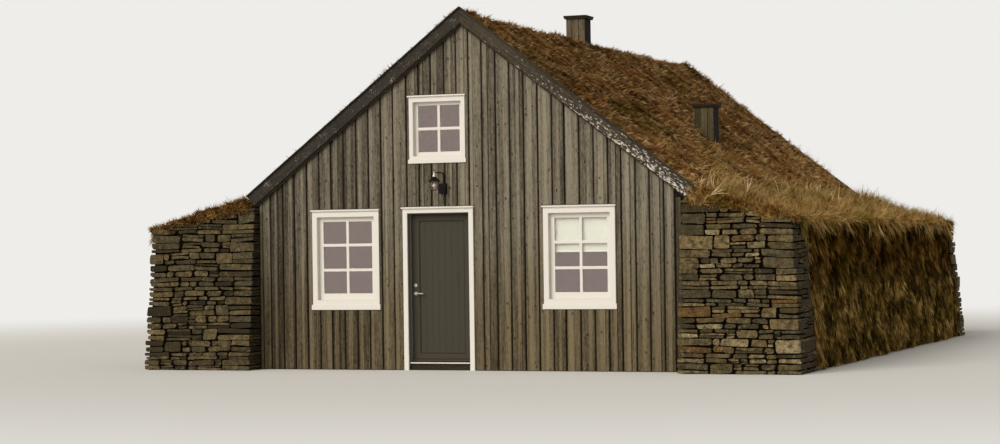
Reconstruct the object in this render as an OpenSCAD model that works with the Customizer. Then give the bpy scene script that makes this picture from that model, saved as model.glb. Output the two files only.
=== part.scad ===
// Turf house: a timber house with a boarded gable front, dry stone wall ends, thick turf side walls
// and a turf roof. X runs along the front, Y runs from the front to the back and Z is up.
// The origin is on the ground at the middle of the plan.

/* [House] */
// Width of the timber house over its outer faces
house_w = 6060; // [5400:20:6800]
// Length of the timber house over its outer faces
house_len = 10160; // [8600:20:11600]
// Thickness of the timber walls
wall_t = 150; // [130:5:180]
// Top of the ground floor above the ground
floor_h = 90; // [60:5:130]
// Height of the loft joists above the door frame
joist_up = 128; // [60:2:200]
// Thickness of the loft floor's boards
loft_board_t = 30; // [20:1:40]
// Depth of a loft joist
joist_d = 150; // [110:5:160]
// Width of a loft joist
joist_w = 60; // [45:1:80]
// Width of the hatch in the loft floor
hatch_w = 800; // [600:10:1000]
// Length of the hatch in the loft floor
hatch_l = 900; // [700:10:1000]

/* [Roof] */
// Height of the roof's eave above the walls beside the timber house
eave_up = 158; // [130:2:190]
// Slope of the roof in degrees
roof_pitch = 37.5; // [36:0.25:38.5]
// How far the roof reaches past the side faces of the timber house
eave_out = 140; // [120:5:160]
// How far the turf and roof boards reach past the gables
verge_out = 75; // [40:5:100]
// Thickness of the roof turf
turf_t = 150; // [110:5:160]
// How far the turf lies below the top of the bargeboards
turf_drop = 20; // [0:1:40]
// Number of courses of turf between the ridge and the eave
turf_courses = 5; // [3:1:8]
// How far each course of turf swells above its joints
turf_swell = 16; // [4:1:20]
// Radius of the rounded turf ridge
turf_ridge_r = 200; // [100:10:400]
// Gap between the roof and the chimneys and wall-top turf fitted against it
fit_gap = 0.3; // [0.2:0.1:0.8]
// Thickness of the roof boards
roof_board_t = 25; // [18:1:30]
// Depth of a rafter
rafter_d = 125; // [100:5:150]
// Width of a rafter
rafter_w = 60; // [45:1:80]
// Number of rafter pairs
rafter_count = 9; // [7:1:11]
// Distance from a gable to the middle of its nearest rafter pair
rafter_end = 320; // [150:10:500]

/* [Bargeboards] */
// Width of a bargeboard
barge_w = 180; // [150:5:200]
// Thickness of a bargeboard
barge_t = 30; // [20:1:40]
// Width of the capping strip on a bargeboard
barge_cap_w = 60; // [45:1:70]
// Thickness of the capping strip
barge_cap_t = 14; // [8:1:18]

/* [Stone and turf walls] */
// Thickness of a side wall at the ground
side_t = 1600; // [1300:10:1800]
// Thickness of the back wall at the ground
back_t = 1520; // [1200:10:1700]
// How far the stone ends stand forward of the front boards at the ground
front_proud = 430; // [400:5:600]
// Length of a stone end behind the front boards
pier_back = 500; // [350:10:900]
// Length of the stone corners at the back
corner_len = 580; // [450:10:800]
// Height of the walls beside the timber house
wall_in_h = 2190; // [2000:5:2400]
// How far the wall tops fall from the timber house to their outer faces
wall_fall = 310; // [210:10:400]
// How far the back wall lies below the side walls where it meets the timber house
back_drop = 110; // [80:5:160]
// How far the left wall leans in, in millimetres for each metre of height
left_batter = 20; // [0:5:100]
// How far the right wall leans in, in millimetres for each metre of height
right_batter = 80; // [0:5:120]
// How far the front and back faces lean in, in millimetres for each metre of height
end_batter = 110; // [0:5:130]
// Thickness of the turf on the wall tops
cap_t = 100; // [70:5:120]
// How far the wall-top turf hangs past the wall faces
cap_lip = 35; // [20:1:60]
// Height of the lower turf tier of the side walls
tier_h = 1140; // [700:10:1300]
// How far the upper turf tier stands back
tier_step = 50; // [20:5:80]

/* [Chimneys] */
// Outer width of a chimney box
chimney_w = 298; // [240:2:360]
// Thickness of the chimney boards
chimney_t = 25; // [18:1:35]
// Height of the ridge chimney's box above the peak of the bargeboards
ridge_chimney_up = 260; // [250:10:500]
// Height of the slope chimney's box above the turf at its middle
slope_chimney_up = 383; // [340:1:600]
// Distance of the slope chimney's middle from the ridge
slope_chimney_x = 1950; // [1500:10:2200]
// Distance from the front boards to the middle of the ridge chimney
ridge_chimney_y = 4730; // [3500:10:6000]
// Distance from the front boards to the middle of the slope chimney
slope_chimney_y = 4870; // [3500:10:6000]
// Thickness of a chimney cap
chimney_cap_t = 50; // [35:1:70]
// How far a chimney cap reaches past its box
chimney_cap_out = 33; // [15:1:45]
// How far the lower band of a chimney cap stands back from its plate
chimney_band_in = 8; // [3:1:12]

/* [Lower windows] */
// Distance of the left window's middle from the middle of the house
left_window_x = 1730; // [1650:5:1900]
// Distance of the right window's middle from the middle of the house
right_window_x = 1597; // [1400:5:1900]
// How far the windows' casings lie below the top of the door's casing
window_drop = 15; // [0:1:60]
// Number of panes across a window
pane_columns = 2; // [1:1:3]
// Number of panes up a lower window
pane_rows = 3; // [2:1:3]
// Clear width of one pane
pane_w = 340; // [280:1:355]
// Clear height of one pane
pane_h = 298; // [260:1:300]
// Width of a sash stile
stile_w = 62; // [40:1:70]
// Height of the sash's top rail
top_rail_h = 62; // [40:1:68]
// Height of the sash's bottom rail
bottom_rail_h = 88; // [60:1:92]
// Thickness of the window lining
lining_t = 22; // [15:1:24]
// Height of the inner sill under the sash
sub_sill_h = 56; // [35:1:62]
// Width of the side casing boards
casing_w = 72; // [50:1:80]
// Height of the head casing board
head_h = 78; // [60:1:80]
// Height of the sill board
sill_h = 75; // [60:1:78]

/* [Loft windows] */
// Distance of the front loft window's middle left of the middle of the house
loft_window_x = 376; // [300:2:450]
// Height of the loft window's sill board above the lamp's wall box
loft_window_up = 275; // [230:1:340]
// Number of panes up a loft window
loft_pane_rows = 2; // [1:1:2]
// Clear width of one loft pane
loft_pane_w = 278; // [230:1:290]
// Clear height of one loft pane
loft_pane_h = 290; // [260:1:310]
// Width of the loft sash's stiles and top rail
loft_stile_w = 46; // [30:1:52]
// Height of the loft sash's bottom rail
loft_rail_h = 56; // [40:1:62]
// Thickness of the loft window's lining
loft_lining_t = 18; // [12:1:24]
// Height of the loft window's inner sill
loft_sub_sill_h = 36; // [24:1:40]
// Width of the loft window's side casings
loft_casing_w = 58; // [40:1:64]
// Height of the loft window's head casing
loft_head_h = 68; // [50:1:72]
// Height of the loft window's sill board
loft_sill_h = 60; // [50:1:66]

/* [Joinery] */
// Width of a glazing bar
bar_w = 38; // [28:1:44]
// Thickness of a sash
sash_t = 40; // [34:1:46]
// How far the sashes stand back from the boards
sash_in = 45; // [30:1:60]
// How far the casings stand proud of the boards
casing_t = 28; // [20:1:36]
// Height of the drip cap over a casing
drip_h = 26; // [18:1:32]
// How far a drip cap or sill reaches past its casing
drip_out = 14; // [6:1:24]
// Thickness of the window glass
glass_t = 4; // [3:1:6]
// Length of the blind's cloth that hangs below its roller
blind_drop = 473; // [200:1:900]
// Thickness of the blind's cloth
blind_t = 4; // [3:1:6]
// Radius of the blind's roller
blind_r = 18; // [14:1:22]

/* [Door] */
// Distance of the door's middle left of the middle of the house
door_x = 382; // [330:2:440]
// Clear width between the door linings
door_w = 880; // [820:5:900]
// Clear height of the doorway above the ground
door_top = 2092; // [2085:1:2100]
// Thickness of the door lining
door_lining_t = 30; // [22:1:34]
// Width of the door casing
door_casing_w = 66; // [50:1:80]
// Height of the door's head casing
door_head_h = 60; // [50:1:74]
// Thickness of the door leaf
leaf_t = 45; // [40:1:52]
// Gap between the leaf and its frame
leaf_gap = 5; // [4:0.5:8]
// Gap between the leaf and the threshold
leaf_bottom_gap = 8; // [6:1:14]
// Depth that the door stop stands out of the lining
stop_d = 12; // [8:1:18]
// Width of the door stop
stop_w = 25; // [15:1:35]
// Height of the threshold strip
strip_h = 14; // [10:1:20]
// How far the board under the threshold strip stands back
riser_in = 20; // [10:1:40]
// Width of the leaf's stiles
leaf_stile_w = 108; // [90:1:130]
// Height of the leaf's top rail
leaf_top_rail = 95; // [80:1:130]
// Height of the leaf's bottom rail
leaf_bottom_rail = 105; // [90:1:150]
// Depth of the leaf's panel below its frame
panel_in = 10; // [6:1:14]
// Number of boards in the leaf's panel
panel_boards = 7; // [5:1:9]
// Width and depth of the groove between panel boards
groove = 5; // [3:1:7]
// How far the weather bar stands out of the leaf
weather_bar_d = 28; // [18:1:40]
// Height of the weather bar
weather_bar_h = 38; // [28:1:50]

/* [Door fittings] */
// Distance of the handle from the leaf's free edge
backset = 58; // [50:1:62]
// Height of the handle above the ground
handle_z = 1020; // [950:5:1100]
// Height of the lock rose above the handle
lock_up = 110; // [80:2:140]
// Radius of the handle and lock roses
rose_r = 24; // [20:1:27]
// Thickness of a rose
rose_t = 8; // [5:1:10]
// Radius of the handle's spindle
spindle_r = 7; // [5:0.5:9]
// Gap round the handle's spindle
spindle_gap = 0.5; // [0.3:0.1:1]
// Length of a lever
lever_len = 115; // [95:1:135]
// Gap between a lever and its rose
lever_gap = 22; // [16:1:26]
// Thickness of a lever
lever_t = 14; // [10:1:18]
// Radius of a hinge knuckle
knuckle_r = 9; // [8:0.5:12]
// Radius of a hinge pin
hinge_pin_r = 5; // [4:0.5:6]
// Running gap in a hinge
hinge_gap = 0.4; // [0.3:0.1:0.6]
// Height of a hinge knuckle's half
knuckle_h = 50; // [40:1:60]
// Width of a hinge plate
plate_w = 32; // [24:1:38]
// Thickness of a hinge plate
plate_t = 2.5; // [2:0.5:3]
// Height of the lowest hinge above the foot of the leaf
low_hinge_up = 218; // [150:2:300]
// Distance of the highest hinge below the top of the leaf
high_hinge_down = 137; // [100:1:250]

/* [Wall lamp] */
// Distance of the lamp left of the middle of the house
lamp_x = 290; // [250:5:340]
// Gap between the door's drip cap and the lamp's wall box
lamp_gap = 169; // [130:1:200]
// Width of the lamp's wall box
lamp_box_w = 96; // [80:2:110]
// Height of the lamp's wall box
lamp_box_h = 130; // [110:2:140]
// Depth of the lamp's wall box
lamp_box_d = 70; // [50:2:90]
// Distance of the lamp shade's middle from the boards
lamp_reach = 340; // [300:5:380]
// Radius of the lamp's pipe
lamp_pipe_r = 9; // [7:0.5:11]
// Height of the arm above the middle of the wall box
lamp_rise = 205; // [190:1:220]
// Radius of the shade's rim
shade_r = 80; // [70:1:90]
// Height of the shade
shade_h = 62; // [50:1:70]
// Thickness of the shade's metal
shade_t = 2; // [1.5:0.5:3]
// Height of the neck above the shade
neck_h = 60; // [50:1:70]
// Radius of the neck where it meets the shade
neck_r = 24; // [20:1:30]
// Radius of the glass jar
jar_r = 50; // [40:1:56]
// Height of the glass jar below the shade
jar_h = 110; // [90:1:130]
// Thickness of the jar's glass
jar_t = 3; // [2:0.5:4]

/* [Hidden] */
$fn = 64;
slope = tan(roof_pitch);
up = 1 / cos(roof_pitch);
half_w = house_w / 2;
in_w = half_w - wall_t;
eave_x = half_w + eave_out;
face_y = front_proud - (front_proud + house_len + back_t) / 2;
back_y = face_y + house_len;
front_foot_y = face_y - front_proud;
back_foot_y = back_y + back_t;
inner_front_y = face_y + wall_t;
inner_back_y = back_y - wall_t;
verge_front_y = face_y - verge_out;
verge_back_y = back_y + verge_out;
turf_top = round(wall_in_h + eave_up + slope * eave_x);
eave_z = turf_top - slope * eave_x;
ridge_h = turf_top + turf_drop;
wall_out_h = wall_in_h - wall_fall;
back_in_h = wall_in_h - back_drop;
board_top = turf_top - turf_t * up;
board_low = board_top - roof_board_t * up;
rafter_low = board_low - rafter_d * up;
door_hole_w = door_w + 2 * door_lining_t;
door_hole_top = door_top + door_lining_t;
joist_low = door_hole_top + joist_up;
joist_top = joist_low + joist_d;
loft_h = joist_top + loft_board_t;
rafter_step = (house_len - 2 * wall_t - 2 * rafter_end) / (rafter_count - 1);
outer_x = half_w + side_t;
pier_y = face_y + pier_back;
corner_y = back_foot_y - corner_len;
verge_in_y = verge_back_y + barge_t + cap_lip;
bar_gap = 1;
hatch_bay = rafter_count - 3;
ridge_chimney_mid_y = face_y + ridge_chimney_y;
slope_chimney_mid_y = face_y + slope_chimney_y;
ridge_chimney_h = ridge_h + ridge_chimney_up;
slope_chimney_h = round(roof_z(turf_top, slope_chimney_x)) + slope_chimney_up;

// A window is [casing width, head height, sill height, lining, inner sill, stile, top rail, bottom rail,
// pane width, pane height, panes across, panes up]
lower_window = [casing_w, head_h, sill_h, lining_t, sub_sill_h, stile_w, top_rail_h, bottom_rail_h,
    pane_w, pane_h, pane_columns, pane_rows];
loft_window = [loft_casing_w, loft_head_h, loft_sill_h, loft_lining_t, loft_sub_sill_h, loft_stile_w,
    loft_stile_w, loft_rail_h, loft_pane_w, loft_pane_h, pane_columns, loft_pane_rows];
window_z = door_top + door_head_h - window_drop - head_h + lining_t - window_hole_h(lower_window) - sill_h;

leaf_w = door_w - 2 * leaf_gap;
leaf_left = -door_x - leaf_w / 2;
leaf_right = -door_x + leaf_w / 2;
leaf_out_y = inner_front_y - leaf_t;
leaf_low = floor_h + strip_h + leaf_bottom_gap;
leaf_top = door_top - leaf_gap;
panel_left = leaf_left + leaf_stile_w;
panel_w = leaf_w - 2 * leaf_stile_w;
panel_low = leaf_low + leaf_bottom_rail;
panel_h = leaf_top - leaf_top_rail - panel_low;
handle_x = leaf_left + backset;
hinge_x = -door_x + door_w / 2 - leaf_gap / 2;
hinge_y = inner_front_y + knuckle_r;
hinge_h = 2 * knuckle_h + hinge_gap;
low_hinge_z = leaf_low + low_hinge_up;
high_hinge_z = leaf_top - high_hinge_down - hinge_h;
lamp_z = door_top + door_head_h + drip_h + lamp_gap + lamp_box_h / 2;
loft_window_z = lamp_z + lamp_box_h / 2 + loft_window_up;
lamp_arm_z = lamp_z + lamp_rise;
lamp_out_y = face_y - lamp_reach;
shade_top_z = lamp_arm_z - neck_h;
shade_low_z = shade_top_z - shade_h;
mouth_z = shade_top_z - 2 * shade_t;

function window_w(w) = w[10] * w[8] + (w[10] - 1) * bar_w + 2 * w[5];
function window_hole_w(w) = window_w(w) + 2 * w[3];
function sash_h(w) = w[11] * w[9] + (w[11] - 1) * bar_w + w[6] + w[7];
function window_hole_h(w) = sash_h(w) + w[3] + w[4];
function roof_z(top, x) = top - slope * abs(x);
function rafter_y(i) = inner_front_y + rafter_end + i * rafter_step;
function arc(cx, cz, r, a0, a1, n) =
    [for (i = [0:n]) [cx + r * cos(a0 + (a1 - a0) * i / n), cz + r * sin(a0 + (a1 - a0) * i / n)]];

// An outline in X and Z, stretched from y0 to y1
module across(y0, y1) {
    translate([0, y1, 0])
        rotate([90, 0, 0])
            linear_extrude(height = y1 - y0)
                children();
}

// An outline in Y and Z, stretched from x0 to x1
module along(x0, x1) {
    translate([x0, 0, 0])
        rotate([90, 0, 90])
            linear_extrude(height = x1 - x0)
                children();
}

module block(x0, x1, y0, y1, z0, z1) {
    translate([x0, y0, z0])
        cube([x1 - x0, y1 - y0, z1 - z0]);
}

module left() {
    mirror([1, 0, 0])
        children();
}

// Timber walls and floors

module ground_floor() {
    color("saddlebrown")
        block(-in_w, in_w, inner_front_y, inner_back_y, 0, floor_h);
}

module window_hole(w, x, z, y0, y1) {
    hole_w = window_hole_w(w);
    block(x - hole_w / 2, x + hole_w / 2, y0 - 1, y1 + 1, z + w[2], z + w[2] + window_hole_h(w));
}

// A wall below the gable, from x0 to x1, that ends at the roof where that is lower
module lower_wall(x0, x1) {
    across(face_y, inner_front_y)
        intersection() {
            translate([x0, 0])
                square([x1 - x0, door_hole_top]);
            gable_outline();
        }
}

module front_wall_left() {
    color("dimgray")
        difference() {
            lower_wall(-half_w, -door_x - door_hole_w / 2);
            window_hole(lower_window, -left_window_x, window_z, face_y, inner_front_y);
        }
}

module front_wall_right() {
    color("dimgray")
        difference() {
            lower_wall(-door_x + door_hole_w / 2, half_w);
            window_hole(lower_window, right_window_x, window_z, face_y, inner_front_y);
        }
}

// The whole end of the timber house, up to the roof boards
module gable_outline() {
    polygon([[-half_w, 0], [half_w, 0], [half_w, roof_z(board_low, half_w)], [0, board_low],
        [-half_w, roof_z(board_low, half_w)]]);
}

module front_gable() {
    color("dimgray")
        difference() {
            across(face_y, inner_front_y)
                intersection() {
                    translate([-half_w, door_hole_top])
                        square([house_w, ridge_h]);
                    gable_outline();
                }
            window_hole(loft_window, -loft_window_x, loft_window_z, face_y, inner_front_y);
        }
}

module back_gable_wall() {
    color("dimgray")
        difference() {
            across(inner_back_y, back_y)
                gable_outline();
            window_hole(loft_window, 0, loft_window_z, inner_back_y, back_y);
        }
}

module right_inner_wall() {
    color("tan")
        across(inner_front_y, inner_back_y)
            polygon([[in_w, 0], [half_w, 0], [half_w, roof_z(board_low, half_w)],
                [in_w, roof_z(board_low, in_w)]]);
}

module left_inner_wall() {
    left()
        right_inner_wall();
}

module loft_joists() {
    color("sienna")
        for (i = [0:rafter_count - 1])
            across(rafter_y(i) + rafter_w / 2, rafter_y(i) + rafter_w / 2 + joist_w)
                intersection() {
                    translate([-in_w, joist_low])
                        square([2 * in_w, joist_d]);
                    gable_outline();
                }
}

module loft_floor() {
    loft_half = (rafter_low - loft_h) / slope;
    hatch_y = rafter_y(hatch_bay) + rafter_w / 2 + joist_w + (rafter_step - joist_w - hatch_l) / 2;
    color("peru")
        difference() {
            block(-loft_half, loft_half, inner_front_y, inner_back_y, joist_top, loft_h);
            block(loft_half / 2 - hatch_w / 2, loft_half / 2 + hatch_w / 2, hatch_y, hatch_y + hatch_l,
                joist_top - 1, loft_h + 1);
        }
}

// Roof

module rafter() {
    polygon([[bar_gap / 2, roof_z(rafter_low, bar_gap / 2)], [in_w, roof_z(rafter_low, in_w)],
        [in_w, roof_z(board_low, in_w)], [bar_gap / 2, roof_z(board_low, bar_gap / 2)]]);
}

module rafters() {
    color("sienna")
        for (i = [0:rafter_count - 1])
            across(rafter_y(i) - rafter_w / 2, rafter_y(i) + rafter_w / 2) {
                rafter();
                left()
                    rafter();
            }
}

// A layer that lies along the right roof slope, cut square at the eave
module slope_layer(top, t, end_x) {
    polygon([[0, top], [end_x, roof_z(top, end_x)],
        [end_x - t * sin(roof_pitch), roof_z(top, end_x) - t * cos(roof_pitch)], [0, top - t * up]]);
}

module right_roof_boards() {
    color("burlywood")
        across(verge_front_y, verge_back_y)
            slope_layer(board_top, roof_board_t, eave_x - turf_t * sin(roof_pitch));
}

module left_roof_boards() {
    left()
        right_roof_boards();
}

// The turf swells a little between the joints of its courses
function swell_point(x, rise) =
    [x + rise * sin(roof_pitch), roof_z(turf_top, x) + rise * cos(roof_pitch)];

module right_turf_outline() {
    ridge_x = turf_ridge_r * sin(roof_pitch);
    ridge_mid_z = turf_top - turf_ridge_r * up;
    low_x = eave_x - turf_t * sin(roof_pitch);
    course = (eave_x - ridge_x) / turf_courses;
    polygon(concat([[0, board_top]], [[low_x, roof_z(board_top, low_x)]],
        [[eave_x, eave_z]],
        [for (i = [0:turf_courses - 1], t = [0.2, 0.5, 0.8])
            swell_point(eave_x - (i + t) * course, t == 0.5 ? turf_swell : 0.6 * turf_swell)],
        arc(0, ridge_mid_z, turf_ridge_r, 90 - roof_pitch, 90, 6)));
}

module chimney_hole(x, y) {
    block(x - chimney_w / 2, x + chimney_w / 2, y - chimney_w / 2, y + chimney_w / 2,
        0, ridge_chimney_h);
}

module right_roof_turf() {
    color("sienna")
        difference() {
            across(verge_front_y, verge_back_y)
                right_turf_outline();
            chimney_hole(0, ridge_chimney_mid_y);
            chimney_hole(slope_chimney_x, slope_chimney_mid_y);
        }
}

module left_roof_turf() {
    color("sienna")
        difference() {
            left()
                across(verge_front_y, verge_back_y)
                    right_turf_outline();
            chimney_hole(0, ridge_chimney_mid_y);
        }
}

// A bargeboard on the right slope, with a capping strip that laps over its face
module bargeboard(y_in, y_out, y_cap) {
    intersection() {
        union() {
            across(min(y_in, y_out), max(y_in, y_out))
                slope_layer(ridge_h, barge_w, eave_x);
            across(min(y_in, y_cap), max(y_in, y_cap))
                slope_layer(ridge_h, barge_cap_t, eave_x);
        }
        block(bar_gap / 2, outer_x, -house_len, house_len, 0, ridge_h + barge_w);
    }
}

module bargeboard_pair(y_in, y_out, y_cap) {
    bargeboard(y_in, y_out, y_cap);
    left()
        bargeboard(y_in, y_out, y_cap);
}

module front_bargeboards() {
    color("darkgray")
        bargeboard_pair(verge_front_y, verge_front_y - barge_t, verge_front_y - barge_cap_w);
}

module back_bargeboards() {
    color("darkgray")
        bargeboard_pair(verge_back_y, verge_back_y + barge_t, verge_back_y + barge_cap_w);
}

// Stone and turf walls

// Outline across a side wall on the right, from the timber wall out to its leaning face
module side_outline(batter) {
    polygon([[half_w, 0], [outer_x, 0], [outer_x - batter * wall_out_h / 1000, wall_out_h],
        [half_w, wall_in_h]]);
}

// Outline along a side wall, leaning in at both ends and sloping down over the back corner
module length_outline() {
    back_lean = end_batter * wall_out_h / 1000;
    front_lean = end_batter * wall_in_h / 1000;
    polygon([[front_foot_y, 0], [back_foot_y, 0], [back_foot_y - back_lean, wall_out_h],
        [verge_in_y, wall_in_h], [front_foot_y + front_lean, wall_in_h]]);
}

// The whole mass of a side wall on the right
module side_mass(batter) {
    intersection() {
        across(front_foot_y, back_foot_y)
            side_outline(batter);
        along(half_w, outer_x)
            length_outline();
    }
}

module stone_end(batter) {
    intersection() {
        side_mass(batter);
        block(half_w, outer_x, front_foot_y, pier_y, 0, wall_in_h);
    }
}

module right_stone_end() {
    color("darkslategray")
        stone_end(right_batter);
}

module left_stone_end() {
    color("darkslategray")
        left()
            stone_end(left_batter);
}

module stone_corner(batter) {
    intersection() {
        side_mass(batter);
        block(half_w, outer_x, corner_y, back_foot_y, 0, wall_in_h);
    }
}

module back_outline() {
    polygon([[back_y, 0], [back_foot_y, 0], [back_foot_y - end_batter * wall_out_h / 1000, wall_out_h],
        [back_y, back_in_h]]);
}

// The back wall's middle bonds into the stone corners
module back_stone_wall() {
    color("darkslategray")
        union() {
            along(-half_w, half_w)
                back_outline();
            along(-half_w - wall_t, half_w + wall_t)
                intersection() {
                    back_outline();
                    translate([corner_y, 0])
                        square([corner_len, wall_in_h]);
                }
            stone_corner(right_batter);
            left()
                stone_corner(left_batter);
        }
}

// The turf stands in two tiers, the upper one set back
module turf_wall(batter) {
    lean = batter / 1000;
    tier_x = outer_x - lean * tier_h;
    top_x = outer_x - lean * wall_out_h - tier_step;
    top_z = wall_in_h - (wall_in_h - wall_out_h) * (top_x - half_w) / (top_x + tier_step - half_w);
    intersection() {
        across(pier_y, corner_y)
            polygon([[half_w, 0], [outer_x, 0], [tier_x, tier_h],
                [tier_x - tier_step, tier_h + tier_step / 2], [top_x, top_z], [half_w, wall_in_h]]);
        along(half_w, outer_x)
            length_outline();
    }
}

module right_turf_wall() {
    color("olivedrab")
        turf_wall(right_batter);
}

module left_turf_wall() {
    color("olivedrab")
        left()
            turf_wall(left_batter);
}

// Turf on a wall top: it fills up to the roof's eave and hangs over the edges in a rounded lip
module top_outline(batter) {
    lip_x = outer_x - batter * wall_out_h / 1000 + cap_lip;
    high_x = eave_x + fit_gap * cos(roof_pitch);
    high_z = eave_z - fit_gap * sin(roof_pitch);
    low_x = high_x - (turf_t + roof_board_t) * sin(roof_pitch);
    low_z = high_z - (turf_t + roof_board_t) * cos(roof_pitch);
    r = cap_t / 2;
    polygon(concat([[half_w, wall_out_h - cap_lip], [lip_x, wall_out_h - cap_lip]],
        arc(lip_x - r, wall_out_h + cap_t - r, r, 0, 80, 5),
        [[high_x, high_z], [low_x, low_z], [half_w, low_z]]));
}

module top_length_outline() {
    lean = end_batter * wall_out_h / 1000;
    front_lip = front_foot_y + lean - cap_lip;
    back_lip = back_foot_y - lean + cap_lip;
    r = cap_t / 2;
    polygon(concat([[front_lip, wall_out_h - cap_lip], [back_lip, wall_out_h - cap_lip]],
        arc(back_lip - r, wall_out_h + cap_t - r, r, 0, 80, 5),
        [[verge_in_y, eave_z]],
        arc(front_lip + r, eave_z - r, r, 90, 180, 5)));
}

// What lies below the lip that hangs over a stone end's front
module below_front_lip() {
    polygon([[half_w - 1, 0], [outer_x + cap_lip, 0], [outer_x + cap_lip, wall_out_h - cap_lip],
        [half_w, wall_in_h - cap_lip], [half_w - 1, wall_in_h - cap_lip]]);
}

module wall_top_turf(batter) {
    difference() {
        intersection() {
            across(front_foot_y, back_foot_y)
                top_outline(batter);
            along(half_w, outer_x + cap_lip)
                top_length_outline();
        }
        side_mass(batter);
        across(front_foot_y - cap_lip, front_foot_y + end_batter * wall_in_h / 1000)
            below_front_lip();
    }
}

module right_wall_top_turf() {
    color("goldenrod")
        wall_top_turf(right_batter);
}

module left_wall_top_turf() {
    color("goldenrod")
        left()
            wall_top_turf(left_batter);
}

module back_wall_top_turf() {
    back_lip = back_foot_y - end_batter * wall_out_h / 1000 + cap_lip;
    r = cap_t / 2;
    color("goldenrod")
        along(-half_w, half_w)
            difference() {
                polygon(concat([[back_y, wall_out_h - cap_lip], [back_lip, wall_out_h - cap_lip]],
                    arc(back_lip - r, wall_out_h + cap_t - r, r, 0, 80, 5),
                    [[back_y, back_in_h + cap_t]]));
                back_outline();
            }
}

// Chimneys

module chimney(x, y, top) {
    half = chimney_w / 2;
    bore = half - chimney_t;
    seat = board_top + fit_gap * up;
    difference() {
        block(x - half, x + half, y - half, y + half, 0, top);
        block(x - bore, x + bore, y - bore, y + bore, -1, top + 1);
        across(y - chimney_w, y + chimney_w)
            polygon([[-eave_x, -1], [eave_x, -1], [eave_x, roof_z(seat, eave_x)], [0, seat],
                [-eave_x, roof_z(seat, eave_x)]]);
    }
}

module chimneys() {
    color("gray") {
        chimney(0, ridge_chimney_mid_y, ridge_chimney_h);
        chimney(slope_chimney_x, slope_chimney_mid_y, slope_chimney_h);
    }
}

// A cap is a plate with a narrower band below it
module chimney_cap(x, y, z) {
    plate = chimney_w / 2 + chimney_cap_out;
    band = plate - chimney_band_in;
    block(x - band, x + band, y - band, y + band, z, z + chimney_cap_t / 2);
    block(x - plate, x + plate, y - plate, y + plate, z + chimney_cap_t / 2, z + chimney_cap_t);
}

module chimney_caps() {
    color("black") {
        chimney_cap(0, ridge_chimney_mid_y, ridge_chimney_h);
        chimney_cap(slope_chimney_x, slope_chimney_mid_y, slope_chimney_h);
    }
}

// Windows, drawn in a frame whose origin is the bottom middle of the sill board on the wall's face

// A rail with a sloping top, from the wall's face outwards and inwards
module sloping_rail(x0, x1, y_out, y_in, z0, h, fall) {
    along(x0, x1)
        polygon([[y_out, z0], [y_in, z0], [y_in, z0 + h], [y_out, z0 + h - fall]]);
}

module window_frame(w) {
    hole_w = window_hole_w(w);
    hole_h = window_hole_h(w);
    in_half = window_w(w) / 2;
    out_half = hole_w / 2 + w[0] - w[3];
    top = w[2] + hole_h - w[3];
    union() {
        difference() {
            union() {
                block(-hole_w / 2, hole_w / 2, 0, wall_t, w[2], w[2] + hole_h);
                block(-out_half, out_half, -casing_t, 0, 0, top + w[1]);
            }
            block(-in_half, in_half, -casing_t - 1, wall_t + 1, w[2] + w[4], top);
        }
        sloping_rail(-out_half - drip_out, out_half + drip_out, -casing_t - drip_out, 0, 0, w[2],
            drip_out / 2);
        sloping_rail(-out_half - drip_out, out_half + drip_out, -casing_t - 2 * drip_out, 0,
            top + w[1], drip_h, drip_out / 2);
    }
}

module sash(w) {
    low = w[2] + w[4];
    difference() {
        block(-window_w(w) / 2, window_w(w) / 2, sash_in, sash_in + sash_t, low, low + sash_h(w));
        pane_places(w)
            translate([0, sash_in - 1, 0])
                cube([w[8], sash_t + 2, w[9]]);
    }
}

module pane_places(w) {
    for (i = [0:w[10] - 1], j = [0:w[11] - 1])
        translate([w[5] - window_w(w) / 2 + i * (w[8] + bar_w), 0,
            w[2] + w[4] + w[7] + j * (w[9] + bar_w)])
            children();
}

module panes(w) {
    pane_places(w)
        translate([0, sash_in + sash_t / 2 - glass_t / 2, 0])
            cube([w[8], glass_t, w[9]]);
}

module at_left_window() {
    translate([-left_window_x, face_y, window_z])
        children();
}

module at_right_window() {
    translate([right_window_x, face_y, window_z])
        children();
}

module at_loft_window() {
    translate([-loft_window_x, face_y, loft_window_z])
        children();
}

module at_back_window() {
    translate([0, back_y, loft_window_z])
        rotate([0, 0, 180])
            children();
}

module left_window_frame() {
    color("ivory")
        at_left_window()
            window_frame(lower_window);
}

module left_window_sash() {
    color("ivory")
        at_left_window()
            sash(lower_window);
}

module right_window_frame() {
    color("ivory")
        at_right_window()
            window_frame(lower_window);
}

module right_window_sash() {
    color("ivory")
        at_right_window()
            sash(lower_window);
}

module loft_window_frame() {
    color("ivory")
        at_loft_window()
            window_frame(loft_window);
}

module loft_window_sash() {
    color("ivory")
        at_loft_window()
            sash(loft_window);
}

module back_window() {
    color("ivory")
        at_back_window()
            union() {
                window_frame(loft_window);
                sash(loft_window);
            }
}

module window_panes() {
    color("lightsteelblue", 0.5) {
        at_left_window()
            panes(lower_window);
        at_right_window()
            panes(lower_window);
        at_loft_window()
            panes(loft_window);
        at_back_window()
            panes(loft_window);
    }
}

module roller_blind() {
    half = window_w(lower_window) / 2;
    top = window_z + lower_window[2] + window_hole_h(lower_window) - lining_t;
    roller_y = face_y + (sash_in + sash_t + wall_t) / 2;
    cloth_half = half - stile_w / 2;
    color("beige")
        translate([right_window_x, 0, 0])
            union() {
                translate([-half, roller_y, top - 2 * blind_r])
                    rotate([0, 90, 0])
                        cylinder(r = blind_r, h = 2 * half);
                block(-cloth_half, cloth_half, roller_y - blind_r, roller_y - blind_r + blind_t,
                    top - 2 * blind_r - blind_drop, top - 2 * blind_r);
            }
}

// Door, drawn in place

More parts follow.
